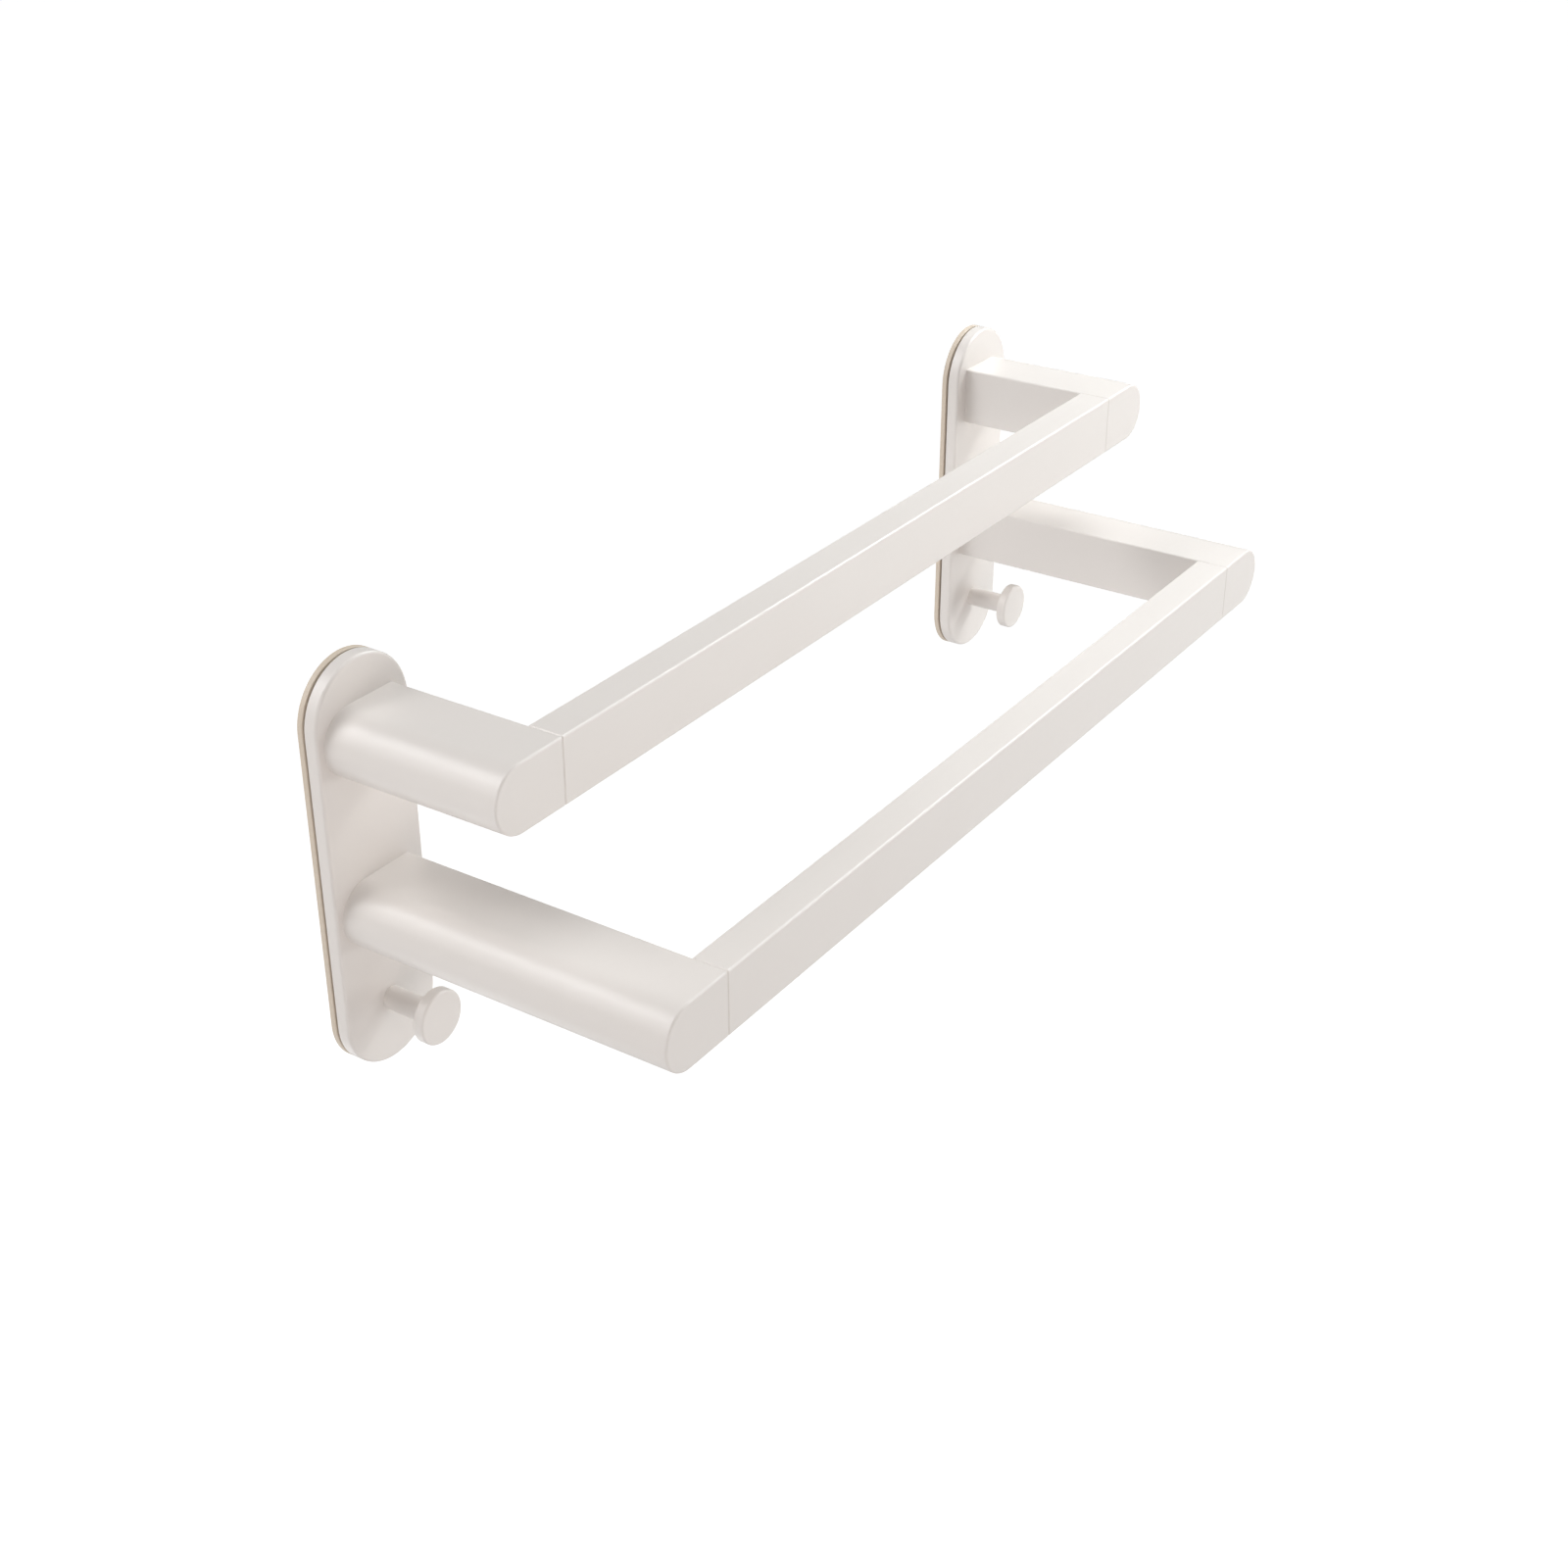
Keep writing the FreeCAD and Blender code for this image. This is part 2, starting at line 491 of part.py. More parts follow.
def hanger_cleat(side, sign):
    """Bar with an upright lip in front, which the keeper of the base plate hangs behind."""
    body = new_body(f"{side}_hanger_cleat")
    section = new_sketch(body, f"{side}_cleat_section", "YZ_Plane")
    draw_polygon(
        section,
        (
            ("0", "-Sizes.cleat_stem_height"),
            ("-Places.cleat_reach", "-Sizes.cleat_stem_height"),
            ("-Places.cleat_reach", "Sizes.cleat_lip_height"),
            ("-Places.cleat_lip_back", "Sizes.cleat_lip_height"),
            ("-Places.cleat_lip_back", "0"),
            ("0", "0"),
        ),
    )
    pad(body, section, "Sizes.cleat_width", symmetric=True)
    taps = new_sketch(body, f"{side}_cleat_taps", "XZ_Plane")
    for across in two_ways("Places.cleat_screw_across"):
        draw_circle(taps, across, "-Places.cleat_screw_drop", "Places.small_tap_radius")
    pocket(body, taps, "Places.small_tap_depth", along_normal=True)
    place(body, sign + "Places.plate_shift", "Sizes.bracket_thickness", "Places.cleat_seat_rise")


def lock_tab(side, sign):
    """Block in the foot of the bracket, against whose underside the lock screw tightens."""
    body = new_body(f"{side}_lock_tab")
    outline = new_sketch(body, f"{side}_tab_outline", "XZ_Plane")
    draw_rectangle(outline, "Places.lock_tab_half_width", "Places.lock_tab_floor", "Places.lock_tab_top")
    pad(body, outline, "Places.lock_tab_reach")
    taps = new_sketch(body, f"{side}_tab_taps", "XZ_Plane")
    for across, rise in lock_screw_places():
        draw_circle(taps, across, rise, "Places.small_tap_radius")
    pocket(body, taps, "Places.small_tap_depth", along_normal=True)
    place(body, across=sign + "Places.plate_shift", out="Sizes.bracket_thickness")


def arm_screw_places(sign):
    """Where the arm screws go through a base plate, from its centre."""
    places = []
    for tier in TIERS:
        for across in ("Places.arm_first_across", "Places.arm_second_across"):
            places.append((flip(across) if sign else across, f"Places.{tier}_arm_rise"))
    return places


def base_plate(side, sign):
    """Thick front plate with screw holes, a hooked pocket for the cleat and a pocket for the lock tab."""
    body = new_body(f"{side}_base_plate")
    outline = new_sketch(body, f"{side}_plate_outline", "XZ_Plane")
    draw_obround(outline, "Places.plate_end_radius", "Places.plate_end_rise")
    pad(body, outline, "Sizes.plate_thickness")
    rounds = edge_names(body, level_at("Y", -number("Sizes.plate_thickness")))
    dress(body, "Fillet", f"{side}_plate_round", rounds, "Radius", "Sizes.plate_edge_round")

    arm_holes = new_sketch(body, f"{side}_arm_holes", "XZ_Plane")
    for across, rise in arm_screw_places(sign):
        draw_circle(arm_holes, across, rise, "Places.arm_hole_radius")
    pocket(body, arm_holes, along_normal=True)
    sinks = edge_names(body, level_at("Y", 0), rim_of("Places.arm_hole_radius"))
    dress(body, "Chamfer", f"{side}_arm_sinks", sinks, "Size", "Places.arm_screw_sink")
    hook_hole = new_sketch(body, f"{side}_hook_hole", "XZ_Plane")
    draw_circle(hook_hole, "0", "Places.hook_rise", "Places.hook_hole_radius")
    pocket(body, hook_hole, along_normal=True)
    sinks = edge_names(body, level_at("Y", 0), rim_of("Places.hook_hole_radius"))
    dress(body, "Chamfer", f"{side}_hook_sink", sinks, "Size", "Places.hook_screw_sink")

    cleat_pocket = new_sketch(body, f"{side}_cleat_pocket", "XZ_Plane")
    draw_rectangle(
        cleat_pocket, "Places.cleat_pocket_half_width", "Places.cleat_pocket_floor", "Places.cleat_seat_rise"
    )
    pocket(body, cleat_pocket, "Places.cleat_pocket_depth", along_normal=True)
    slot = new_sketch(body, f"{side}_cleat_slot", "XZ_Plane", "Sizes.keeper_thickness")
    draw_rectangle(slot, "Places.cleat_pocket_half_width", "Places.cleat_foot_rise", "Places.cleat_slot_top")
    pocket(body, slot, "Places.cleat_slot_depth", along_normal=True)
    lock_pocket = new_sketch(body, f"{side}_lock_pocket", "XZ_Plane")
    draw_rectangle(
        lock_pocket, "Places.lock_pocket_half_width", "Places.lock_pocket_floor", "Places.lock_pocket_top"
    )
    pocket(body, lock_pocket, "Places.lock_pocket_depth", along_normal=True)
    grub_hole = new_sketch(body, f"{side}_lock_grub_hole", "XY_Plane", "Places.lock_pocket_floor")
    draw_circle(grub_hole, "0", "-Places.lock_grub_back", "Places.lock_grub_tap_radius")
    pocket(body, grub_hole)
    place(body, across=sign + "Places.plate_shift", out="Places.plate_back")


def arm(side, sign, tier):
    """Cast arm of D section: a hollow core with two screw bosses, and a solid front end for the rail."""
    body = new_body(f"{side}_{tier}_arm")
    section = new_sketch(body, f"{side}_{tier}_arm_section", "XZ_Plane")
    draw_arm_section(section, "0", "Places.arm_round_inset", "Places.arm_radius")
    pad(body, section, f"Sizes.{tier}_reach")
    front_edges = edge_names(body, level_at("Y", -number(f"Sizes.{tier}_reach")))
    inner_edges = edge_names(body, level_at("X", 0), lambda edge: near(edge.BoundBox.ZLength, 0))
    rounds = sorted(set(front_edges + inner_edges))
    dress(body, "Fillet", f"{side}_{tier}_arm_round", rounds, "Radius", "Sizes.arm_edge_round")

    core = new_sketch(body, f"{side}_{tier}_arm_core", "XZ_Plane")
    draw_arm_section(core, "Sizes.arm_wall", "Places.arm_round_inset", "Places.arm_core_radius")
    taps = new_sketch(body, f"{side}_{tier}_arm_taps", "XZ_Plane")
    for inset in ("-Sizes.arm_screw_inset", "-Places.arm_second_inset"):
        draw_circle(core, inset, "0", "Places.arm_boss_radius")
        draw_circle(taps, inset, "0", "Places.arm_tap_radius")
    pocket(body, core, f"Places.{tier}_core_depth", along_normal=True)
    pocket(body, taps, "Places.arm_tap_depth", along_normal=True)
    joiner_taps = new_sketch(body, f"{side}_{tier}_joiner_taps", "YZ_Plane")
    for rise in two_ways("Places.joiner_screw_rise"):
        draw_circle(joiner_taps, f"-Places.{tier}_rail_reach", rise, "Places.joiner_tap_radius")
    pocket(body, joiner_taps, "Places.joiner_tap_depth")
    turn_axis = None if sign else V(0, 1, 0)
    place(body, sign + "Places.arm_flat_shift", "Places.plate_face", f"Places.{tier}_arm_rise", turn_axis)


def rail(tier):
    """Rectangular tube between two arms, with a grub screw hole under each end."""
    body = new_body(f"{tier}_rail")
    section = new_sketch(body, f"{tier}_rail_section", "YZ_Plane")
    draw_rectangle(section, "Places.rail_half_depth", "-Places.arm_radius", "Places.arm_radius")
    pad(body, section, "Places.rail_length")
    long_edges = edge_names(body, lambda edge: near(edge.BoundBox.XLength, number("Places.rail_length")))
    dress(body, "Fillet", f"{tier}_rail_round", long_edges, "Radius", "Sizes.rail_edge_round")
    ends = []
    for along in (0, number("Places.rail_length")):
        ends += edge_names(body, level_at("X", along))
    dress(body, "Chamfer", f"{tier}_rail_bevel", ends, "Size", "Sizes.rail_end_bevel")
    bore = new_sketch(body, f"{tier}_rail_bore", "YZ_Plane")
    draw_rectangle(
        bore, "Places.rail_bore_half_depth", "-Places.rail_bore_half_height", "Places.rail_bore_half_height"
    )
    pocket(body, bore, along_normal=True)
    grub_holes = new_sketch(body, f"{tier}_rail_grub_holes", "XY_Plane")
    for along in ("Sizes.rail_grub_inset", "Places.rail_far_grub"):
        draw_circle(grub_holes, along, "0", "Places.rail_grub_hole_radius")
    pocket(body, grub_holes)
    place(body, "-Places.arm_flat_shift", f"Places.{tier}_rail_out", f"Places.{tier}_arm_rise")


def joiner(side, sign, tier):
    """Plug for a rail's end, screwed to the flat side of the arm and threaded for the rail's grub screw."""
    body = new_body(f"{side}_{tier}_joiner")
    section = new_sketch(body, f"{side}_{tier}_joiner_section", "YZ_Plane")
    draw_rectangle(
        section, "Places.joiner_half_depth", "-Places.joiner_half_height", "Places.joiner_half_height"
    )
    pad(body, section, "Sizes.joiner_length")
    holes = new_sketch(body, f"{side}_{tier}_joiner_holes", "YZ_Plane")
    recesses = new_sketch(body, f"{side}_{tier}_joiner_recesses", "YZ_Plane", "Places.joiner_grip")
    for rise in two_ways("Places.joiner_screw_rise"):
        draw_circle(holes, "0", rise, "Places.joiner_hole_radius")
        draw_circle(recesses, "0", rise, "Places.joiner_recess_radius")
    pocket(body, holes, along_normal=True)
    pocket(body, recesses, along_normal=True)
    grub_tap = new_sketch(body, f"{side}_{tier}_joiner_grub_tap", "XY_Plane", "-Places.arm_radius")
    draw_circle(grub_tap, "Sizes.rail_grub_inset", "0", "Places.rail_grub_tap_radius")
    pocket(body, grub_tap, "Places.rail_grub_tap_depth", along_normal=True)
    turn_axis = None if sign else V(0, 0, 1)
    shift = sign + "Places.arm_flat_shift"
    place(body, shift, f"Places.{tier}_rail_out", f"Places.{tier}_arm_rise", turn_axis)


def hook(side, sign):
    """Turned hook: a round stem and a round disc with softened edges."""
    body = new_body(f"{side}_hook")
    profile = new_sketch(body, f"{side}_hook_profile", "XY_Plane")
    draw_polygon(
        profile,
        (
            ("0", "0"),
            ("Places.hook_stem_radius", "0"),
            ("Places.hook_stem_radius", "-Places.hook_stem_length"),
            ("Places.hook_disc_radius", "-Places.hook_stem_length"),
            ("Places.hook_disc_radius", "-Sizes.hook_reach"),
            ("0", "-Sizes.hook_reach"),
        ),
    )
    turned = body.newObject("PartDesign::Revolution", f"{side}_hook_turned")
    turned.Profile = profile
    turned.ReferenceAxis = (origin_feature(body, "Y_Axis"), [""])
    turned.Angle = FULL_TURN
    doc.recompute()
    rims = edge_names(body, rim_of("Places.hook_disc_radius"))
    dress(body, "Fillet", f"{side}_hook_round", rims, "Radius", "Sizes.hook_edge_round")
    tap = new_sketch(body, f"{side}_hook_tap", "XZ_Plane")
    draw_circle(tap, "0", "0", "Places.hook_tap_radius")
    pocket(body, tap, "Places.hook_tap_depth", along_normal=True)
    place(body, sign + "Places.plate_shift", "Places.plate_face", "Places.hook_rise")


def primitive(kind, name, up=None, **sizes):
    """Part primitive about the Z axis whose sizes follow the sheets."""
    shape = doc.addObject("Part::" + kind, name)
    for size, text in sizes.items():
        shape.setExpression(size, text)
    if up:
        shape.setExpression("Placement.Base.z", up)
    return shape


def with_socket(name, prefix, solid):
    """Cuts a hexagon socket into the end of a screw at Z = 0."""
    depth = f"Sizes.{prefix}_socket_depth"
    flats = f"Sizes.{prefix}_socket"
    socket = primitive(
        "Prism",
        name + "_socket",
        up="-Sizes.cut_overrun",
        Circumradius=f"{flats} / (2 * cos({HALF_TURN} deg / {HEX_SIDES}))",
        Height=f"{depth} + Sizes.cut_overrun",
    )
    socket.Polygon = HEX_SIDES
    screw = doc.addObject("Part::Cut", name)
    screw.Base = solid
    screw.Tool = socket
    return screw


def fused(name, first, second):
    """Two solids made one."""
    union = doc.addObject("Part::Fuse", name)
    union.Base = first
    union.Tool = second
    return union


def countersunk_screw(prefix):
    """Countersunk screw along +Z, with the flat of its head at Z = 0."""
    radius = f"Sizes.{prefix}_diameter / 2"
    head_height = f"Places.{prefix}_sink"
    head = primitive(
        "Cone", prefix + "_cone", Radius1=f"Sizes.{prefix}_head / 2", Radius2=radius, Height=head_height
    )
    straight = f"Sizes.{prefix}_length - {head_height}"
    shank = primitive("Cylinder", prefix + "_shank", head_height, Radius=radius, Height=straight)
    return with_socket(prefix, prefix, fused(prefix + "_blank", head, shank))


def cap_screw(prefix):
    """Cap screw along +Z, with the top of its head at Z = 0."""
    head_height = f"Sizes.{prefix}_head_height"
    head = primitive("Cylinder", prefix + "_cap", Radius=f"Sizes.{prefix}_head / 2", Height=head_height)
    shank = primitive(
        "Cylinder",
        prefix + "_shank",
        head_height,
        Radius=f"Sizes.{prefix}_diameter / 2",
        Height=f"Sizes.{prefix}_length",
    )
    return with_socket(prefix, prefix, fused(prefix + "_blank", head, shank))


def grub_screw(prefix):
    """Grub screw along +Z, with its socket at Z = 0 and a blunt cone at its tip."""
    radius = f"Sizes.{prefix}_diameter / 2"
    straight = f"Sizes.{prefix}_length - Sizes.{prefix}_tip"
    shank = primitive("Cylinder", prefix + "_shank", Radius=radius, Height=straight)
    height = f"Sizes.{prefix}_tip"
    tip = primitive("Cone", prefix + "_cone", straight, Radius1=radius, Radius2=f"{radius} / 2", Height=height)
    return with_socket(prefix, prefix, fused(prefix + "_blank", shank, tip))


def screw_group(label, screw, stations):
    """Node of identical screws: each station gives X, Y and Z and the turn of the screw's axis."""
    copies = []
    for index, (across, out, up, turn) in enumerate(stations, 1):
        copy = doc.addObject("App::Link", f"{label}_{index}")
        copy.LinkedObject = screw
        copy.LinkPlacement = FreeCAD.Placement(V(0, 0, 0), turn)
        for axis, text in (("x", across), ("y", out), ("z", up)):
            if text != "0":
                copy.setExpression("LinkPlacement.Base." + axis, text)
        copies.append(copy)
    group = doc.addObject("Part::Compound", label)
    group.Links = copies
    doc.recompute()
    nodes.append(group)


def fasteners():
    """All screws, each kind as one node."""
    into_room = FreeCAD.Rotation(V(1, 0, 0), QUARTER_TURN)
    upwards = FreeCAD.Rotation()
    outwards = {
        "left": FreeCAD.Rotation(V(0, 1, 0), -QUARTER_TURN),
        "right": FreeCAD.Rotation(V(0, 1, 0), QUARTER_TURN),
    }
    small_screw = countersunk_screw("small_screw")
    screws = {
        "hanger_screws": small_screw,
        "lock_tab_screws": small_screw,
        "arm_screws": countersunk_screw("arm_screw"),
        "hook_screws": countersunk_screw("hook_screw"),
        "joiner_screws": cap_screw("joiner_screw"),
        "rail_grub_screws": grub_screw("rail_grub"),
        "lock_grub_screws": grub_screw("lock_grub"),
    }
    stations = {label: [] for label in screws}
    for side, sign in SIDES.items():
        plate = sign + "Places.plate_shift"
        back = "-Places.plate_back"
        for across, rise in cleat_screw_places():
            stations["hanger_screws"].append((f"{plate} + {across}", "0", rise, into_room))
        for across, rise in lock_screw_places():
            stations["lock_tab_screws"].append((f"{plate} + {across}", "0", rise, into_room))
        for across, rise in arm_screw_places(sign):
            stations["arm_screws"].append((f"{plate} + {across}", back, rise, into_room))
        stations["hook_screws"].append((plate, back, "Places.hook_rise", into_room))
        stations["lock_grub_screws"].append((plate, "-Places.lock_grub_out", "Places.lock_grub_rise", upwards))
        head_top = f"{sign}(Places.joiner_seat_shift - Sizes.joiner_screw_head_height)"
        grub = sign + "Places.rail_grub_shift"
        for tier in TIERS:
            out = f"-Places.{tier}_rail_out"
            for rise in two_ways("Places.joiner_screw_rise"):
                level = f"Places.{tier}_arm_rise + {rise}"
                stations["joiner_screws"].append((head_top, out, level, outwards[side]))
            stations["rail_grub_screws"].append((grub, out, f"Places.{tier}_rail_grub_rise", upwards))
    for label, screw in screws.items():
        screw_group(label, screw, stations[label])


def check():
    """Stops where an object failed, or a node's shape is missing or broken."""
    for thing in doc.Objects:
        if "Invalid" in thing.State or "Error" in thing.State:
            raise RuntimeError(f"{thing.Name} failed: {thing.State}")
    for node in nodes:
        if node.Shape.isNull() or not node.Shape.isValid() or not node.Shape.Solids:
            raise RuntimeError(f"{node.Label} has no valid solid")


def main():
    """Builds every piece, checks the document and writes one file per node."""
    fill_sheets()
    for side, sign in SIDES.items():
        wall_bracket(side, sign)
        bracket_liner(side, sign)
        hanger_cleat(side, sign)
        lock_tab(side, sign)
        base_plate(side, sign)
        hook(side, sign)
        for tier in TIERS:
            arm(side, sign, tier)
            joiner(side, sign, tier)
    for tier in TIERS:
        rail(tier)
    fasteners()
    doc.recompute()
    check()
    os.makedirs("parts", exist_ok=True)
    for node in nodes:
        node.Shape.exportStep(f"parts/{node.Label}.step")
        print(f"{node.Label}: {len(node.Shape.Solids)} solid(s), {node.Shape.Volume:.1f} mm3")


main()
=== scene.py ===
"""Looks of a two-tier wall towel rack: plates, arms, rails and hooks that lift off wall brackets.

The frame is the part's own: X runs along the rails, -Y points into the room and +Z up. The origin
lies on the wall, midway between the two base plates and at half their height. Lengths are metres.
"""
import logging
import math
from abc import ABC, abstractmethod
from dataclasses import dataclass
from enum import Enum

import bpy
import numpy as np
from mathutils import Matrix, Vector


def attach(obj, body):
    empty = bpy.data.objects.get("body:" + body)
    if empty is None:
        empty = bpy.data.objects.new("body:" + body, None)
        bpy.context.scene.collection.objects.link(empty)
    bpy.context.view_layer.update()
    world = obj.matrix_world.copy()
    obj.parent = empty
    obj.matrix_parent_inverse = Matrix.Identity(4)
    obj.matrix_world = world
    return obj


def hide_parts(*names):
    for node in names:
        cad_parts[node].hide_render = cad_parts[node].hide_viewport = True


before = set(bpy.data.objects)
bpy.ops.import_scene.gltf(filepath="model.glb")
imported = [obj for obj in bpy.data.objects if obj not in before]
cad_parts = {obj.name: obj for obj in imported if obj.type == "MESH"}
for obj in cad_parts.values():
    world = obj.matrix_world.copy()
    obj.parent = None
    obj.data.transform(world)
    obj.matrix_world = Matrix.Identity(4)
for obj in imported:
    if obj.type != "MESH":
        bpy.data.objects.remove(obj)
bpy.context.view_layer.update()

LOG = logging.getLogger("towel_rack")

Colour = tuple[float, float, float]
Point = tuple[float, float, float]
Span = tuple[float, float]
Socket = bpy.types.NodeSocket

MM = 1e-3
MICRON = 1e-6
RIGHT_ANGLE = 90.0
HEX_SIDE = math.tau / 6
BOTH_WAYS = (-1, 1)
NOISE_SPAN: Span = (0.3, 0.7)
WHITE: Colour = (1.0, 1.0, 1.0)
COOL_LIGHT: Colour = (0.95, 0.99, 1.0)
WARM_LIGHT: Colour = (1.0, 0.93, 0.89)
MIX_SHARE, MIX_A, MIX_B, MIX_RESULT = 0, 6, 7, 2  # share and colour sockets of a Mix node
SHADER_SHARE, SHADER_A, SHADER_B = 0, 1, 2  # sockets of a Mix Shader node


class Body(Enum):
    """The two bodies of the part: what stays on the wall and what lifts off it."""

    WALL = "wall_brackets"
    RACK = "rack"


class Slot(Enum):
    """Material slots of the part's record, paired with the new pieces' finishes."""

    ZINC = "zinc_steel"
    DARK = "dark_steel"


class Side(Enum):
    """The two ends of the rack, with the sign of X there."""

    LEFT = -1
    RIGHT = 1

    def node(self, piece: str) -> str:
        """Name of a piece's node on this side."""
        return f"{self.name.lower()}_{piece}"


class Tier(Enum):
    """The two rails, each with the height of its axis and its distance from the wall."""

    UPPER = (55.75 * MM, 79.75 * MM)
    LOWER = (-15.75 * MM, 148.25 * MM)

    @property
    def rise(self) -> float:
        """Height of the rail's axis."""
        return self.value[0]

    @property
    def out(self) -> float:
        """Distance of the rail's axis from the wall."""
        return self.value[1]

    def node(self, piece: str) -> str:
        """Name of a piece's node on this tier."""
        return f"{self.name.lower()}_{piece}"


class Heading(Enum):
    """Which way a screw's axis points, as the rows of the matrix that turns +Z that way."""

    INTO_ROOM = ((1, 0, 0), (0, 0, -1), (0, 1, 0))
    UP = ((1, 0, 0), (0, 1, 0), (0, 0, 1))
    TO_LEFT = ((0, 0, -1), (0, 1, 0), (1, 0, 0))
    TO_RIGHT = ((0, 0, 1), (0, 1, 0), (-1, 0, 0))


class HeadKind(Enum):
    """Shapes of a screw's driven end."""

    COUNTERSUNK = "countersunk"
    CAP = "cap"
    GRUB = "grub"


def opaque(colour: Colour) -> tuple[float, float, float, float]:
    """The colour with a full alpha, as a colour socket takes it."""
    return (*colour, 1.0)


@dataclass(frozen=True)
class Pattern:
    """A soft noise: cells for each metre, octaves of finer noise and the share that each keeps."""

    scale: float
    detail: float = 2.0
    rough: float = 0.5


class NodeGraph:
    """A new material and the few moves needed to wire it."""

    def __init__(self, name: str) -> None:
        """Starts from the plain shader.

        Args:
            name: Name of the material.
        """
        self.material = bpy.data.materials.new(name)
        self.material.use_nodes = True
        self.nodes = self.material.node_tree.nodes
        self.shader = self.nodes["Principled BSDF"]
        self.place = self.nodes.new("ShaderNodeTexCoord").outputs["Object"]

    def set(self, **values: object) -> None:
        """Sets sockets of the shader that are the same all over; _ in a name stands for a space."""
        for name, value in values.items():
            self.shader.inputs[name.replace("_", " ")].default_value = value

    def link(self, source: Socket, target: Socket) -> None:
        """Joins two sockets."""
        self.material.node_tree.links.new(source, target)

    def stretched(self, scale: Point) -> Socket:
        """Object coordinates scaled along each axis, for patterns that run along the piece.

        Args:
            scale: Factor along X, Y and Z.

        Returns:
            The scaled coordinates.
        """
        mapping = self.nodes.new("ShaderNodeMapping")
        mapping.inputs["Scale"].default_value = scale
        self.link(self.place, mapping.inputs["Vector"])
        return mapping.outputs["Vector"]

    def noise(self, pattern: Pattern, where: Socket | None = None) -> Socket:
        """Soft noise from about 0.25 to 0.75.

        Args:
            pattern: Scale and fineness of the noise.
            where: Coordinates, or None for the plain Object coordinates.

        Returns:
            The noise value.
        """
        texture = self.nodes.new("ShaderNodeTexNoise")
        texture.inputs["Scale"].default_value = pattern.scale
        texture.inputs["Detail"].default_value = pattern.detail
        texture.inputs["Roughness"].default_value = pattern.rough
        self.link(where or self.place, texture.inputs["Vector"])
        return texture.outputs["Fac"]

    def spread(
        self, value: Socket, low: float = 0.0, high: float = 1.0, span: Span = NOISE_SPAN
    ) -> Socket:
        """Value carried from one span to another, and held at its ends.

        Args:
            value: The value to carry.
            low: Result at the start of the span.
            high: Result at the end of the span.
            span: Start and end of the incoming span.

        Returns:
            The new value.
        """
        node = self.nodes.new("ShaderNodeMapRange")
        ends = ("From Min", "From Max", "To Min", "To Max")
        for name, number in zip(ends, (*span, low, high)):
            node.inputs[name].default_value = number
        self.link(value, node.inputs["Value"])
        return node.outputs["Result"]

    def blend(self, share: Socket, first: Colour | Socket, second: Colour) -> Socket:
        """Colour between two colours.

        Args:
            share: How much of the second colour.
            first: Colour, or the socket that gives it.
            second: Colour.

        Returns:
            The blended colour.
        """
        node = self.nodes.new("ShaderNodeMix")
        node.data_type = "RGBA"
        self.link(share, node.inputs[MIX_SHARE])
        node.inputs[MIX_B].default_value = opaque(second)
        if isinstance(first, tuple):
            node.inputs[MIX_A].default_value = opaque(first)
        else:
            self.link(first, node.inputs[MIX_A])
        return node.outputs[MIX_RESULT]

    def colour(self, source: Socket) -> None:
        """Gives the shader its colour."""
        self.link(source, self.shader.inputs["Base Color"])

    def relief(self, height: Socket, distance: float, gloss_span: Span) -> None:
        """Raises the surface by a height, which sets the roughness too.

        Args:
            height: Height from 0 to 1.
            distance: What a height of 1 stands for.
            gloss_span: Roughness of the low spots and of the high ones.
        """
        node = self.nodes.new("ShaderNodeBump")
        node.inputs["Distance"].default_value = distance
        self.link(height, node.inputs["Height"])
        self.link(node.outputs["Normal"], self.shader.inputs["Normal"])
        self.link(self.spread(height, *gloss_span), self.shader.inputs["Roughness"])


@dataclass(frozen=True)
class Finish(ABC):
    """A surface finish, made once and shared by the pieces that have it."""

    name: str

    def material(self) -> bpy.types.Material:
        """The finish's material, wired on first use."""
        return bpy.data.materials.get(self.name) or self.wired()

    @abstractmethod
    def wired(self) -> bpy.types.Material:
        """Wires the material."""


@dataclass(frozen=True)
class PowderCoat(Finish):
    """Satin powder coat: a faintly clouded tint with fine specks, over a shallow orange peel."""

    tint: Colour
    shade: Colour
    gloss_span: Span = (0.34, 0.42)
    sheen_level: float = 0.75
    clouds: Pattern = Pattern(11.0, detail=3.0)
    specks: Pattern = Pattern(1700.0, detail=1.0)
    speck_span: Span = (0.6, 0.74)
    speck_share: float = 0.16
    peel: Pattern = Pattern(380.0, rough=0.4)
    peel_height: float = 14 * MICRON

    def wired(self) -> bpy.types.Material:
        """Wires the material: clouds and specks colour it, and the peel sets its bump and gloss.

        Returns:
            The new material.
        """
        graph = NodeGraph(self.name)
        clouds = graph.spread(graph.noise(self.clouds))
        specks = graph.spread(graph.noise(self.specks), high=self.speck_share, span=self.speck_span)
        graph.set(Specular_IOR_Level=self.sheen_level)
        graph.colour(graph.blend(specks, graph.blend(clouds, self.tint, self.shade), self.shade))
        graph.relief(graph.noise(self.peel), self.peel_height, self.gloss_span)
        return graph.material


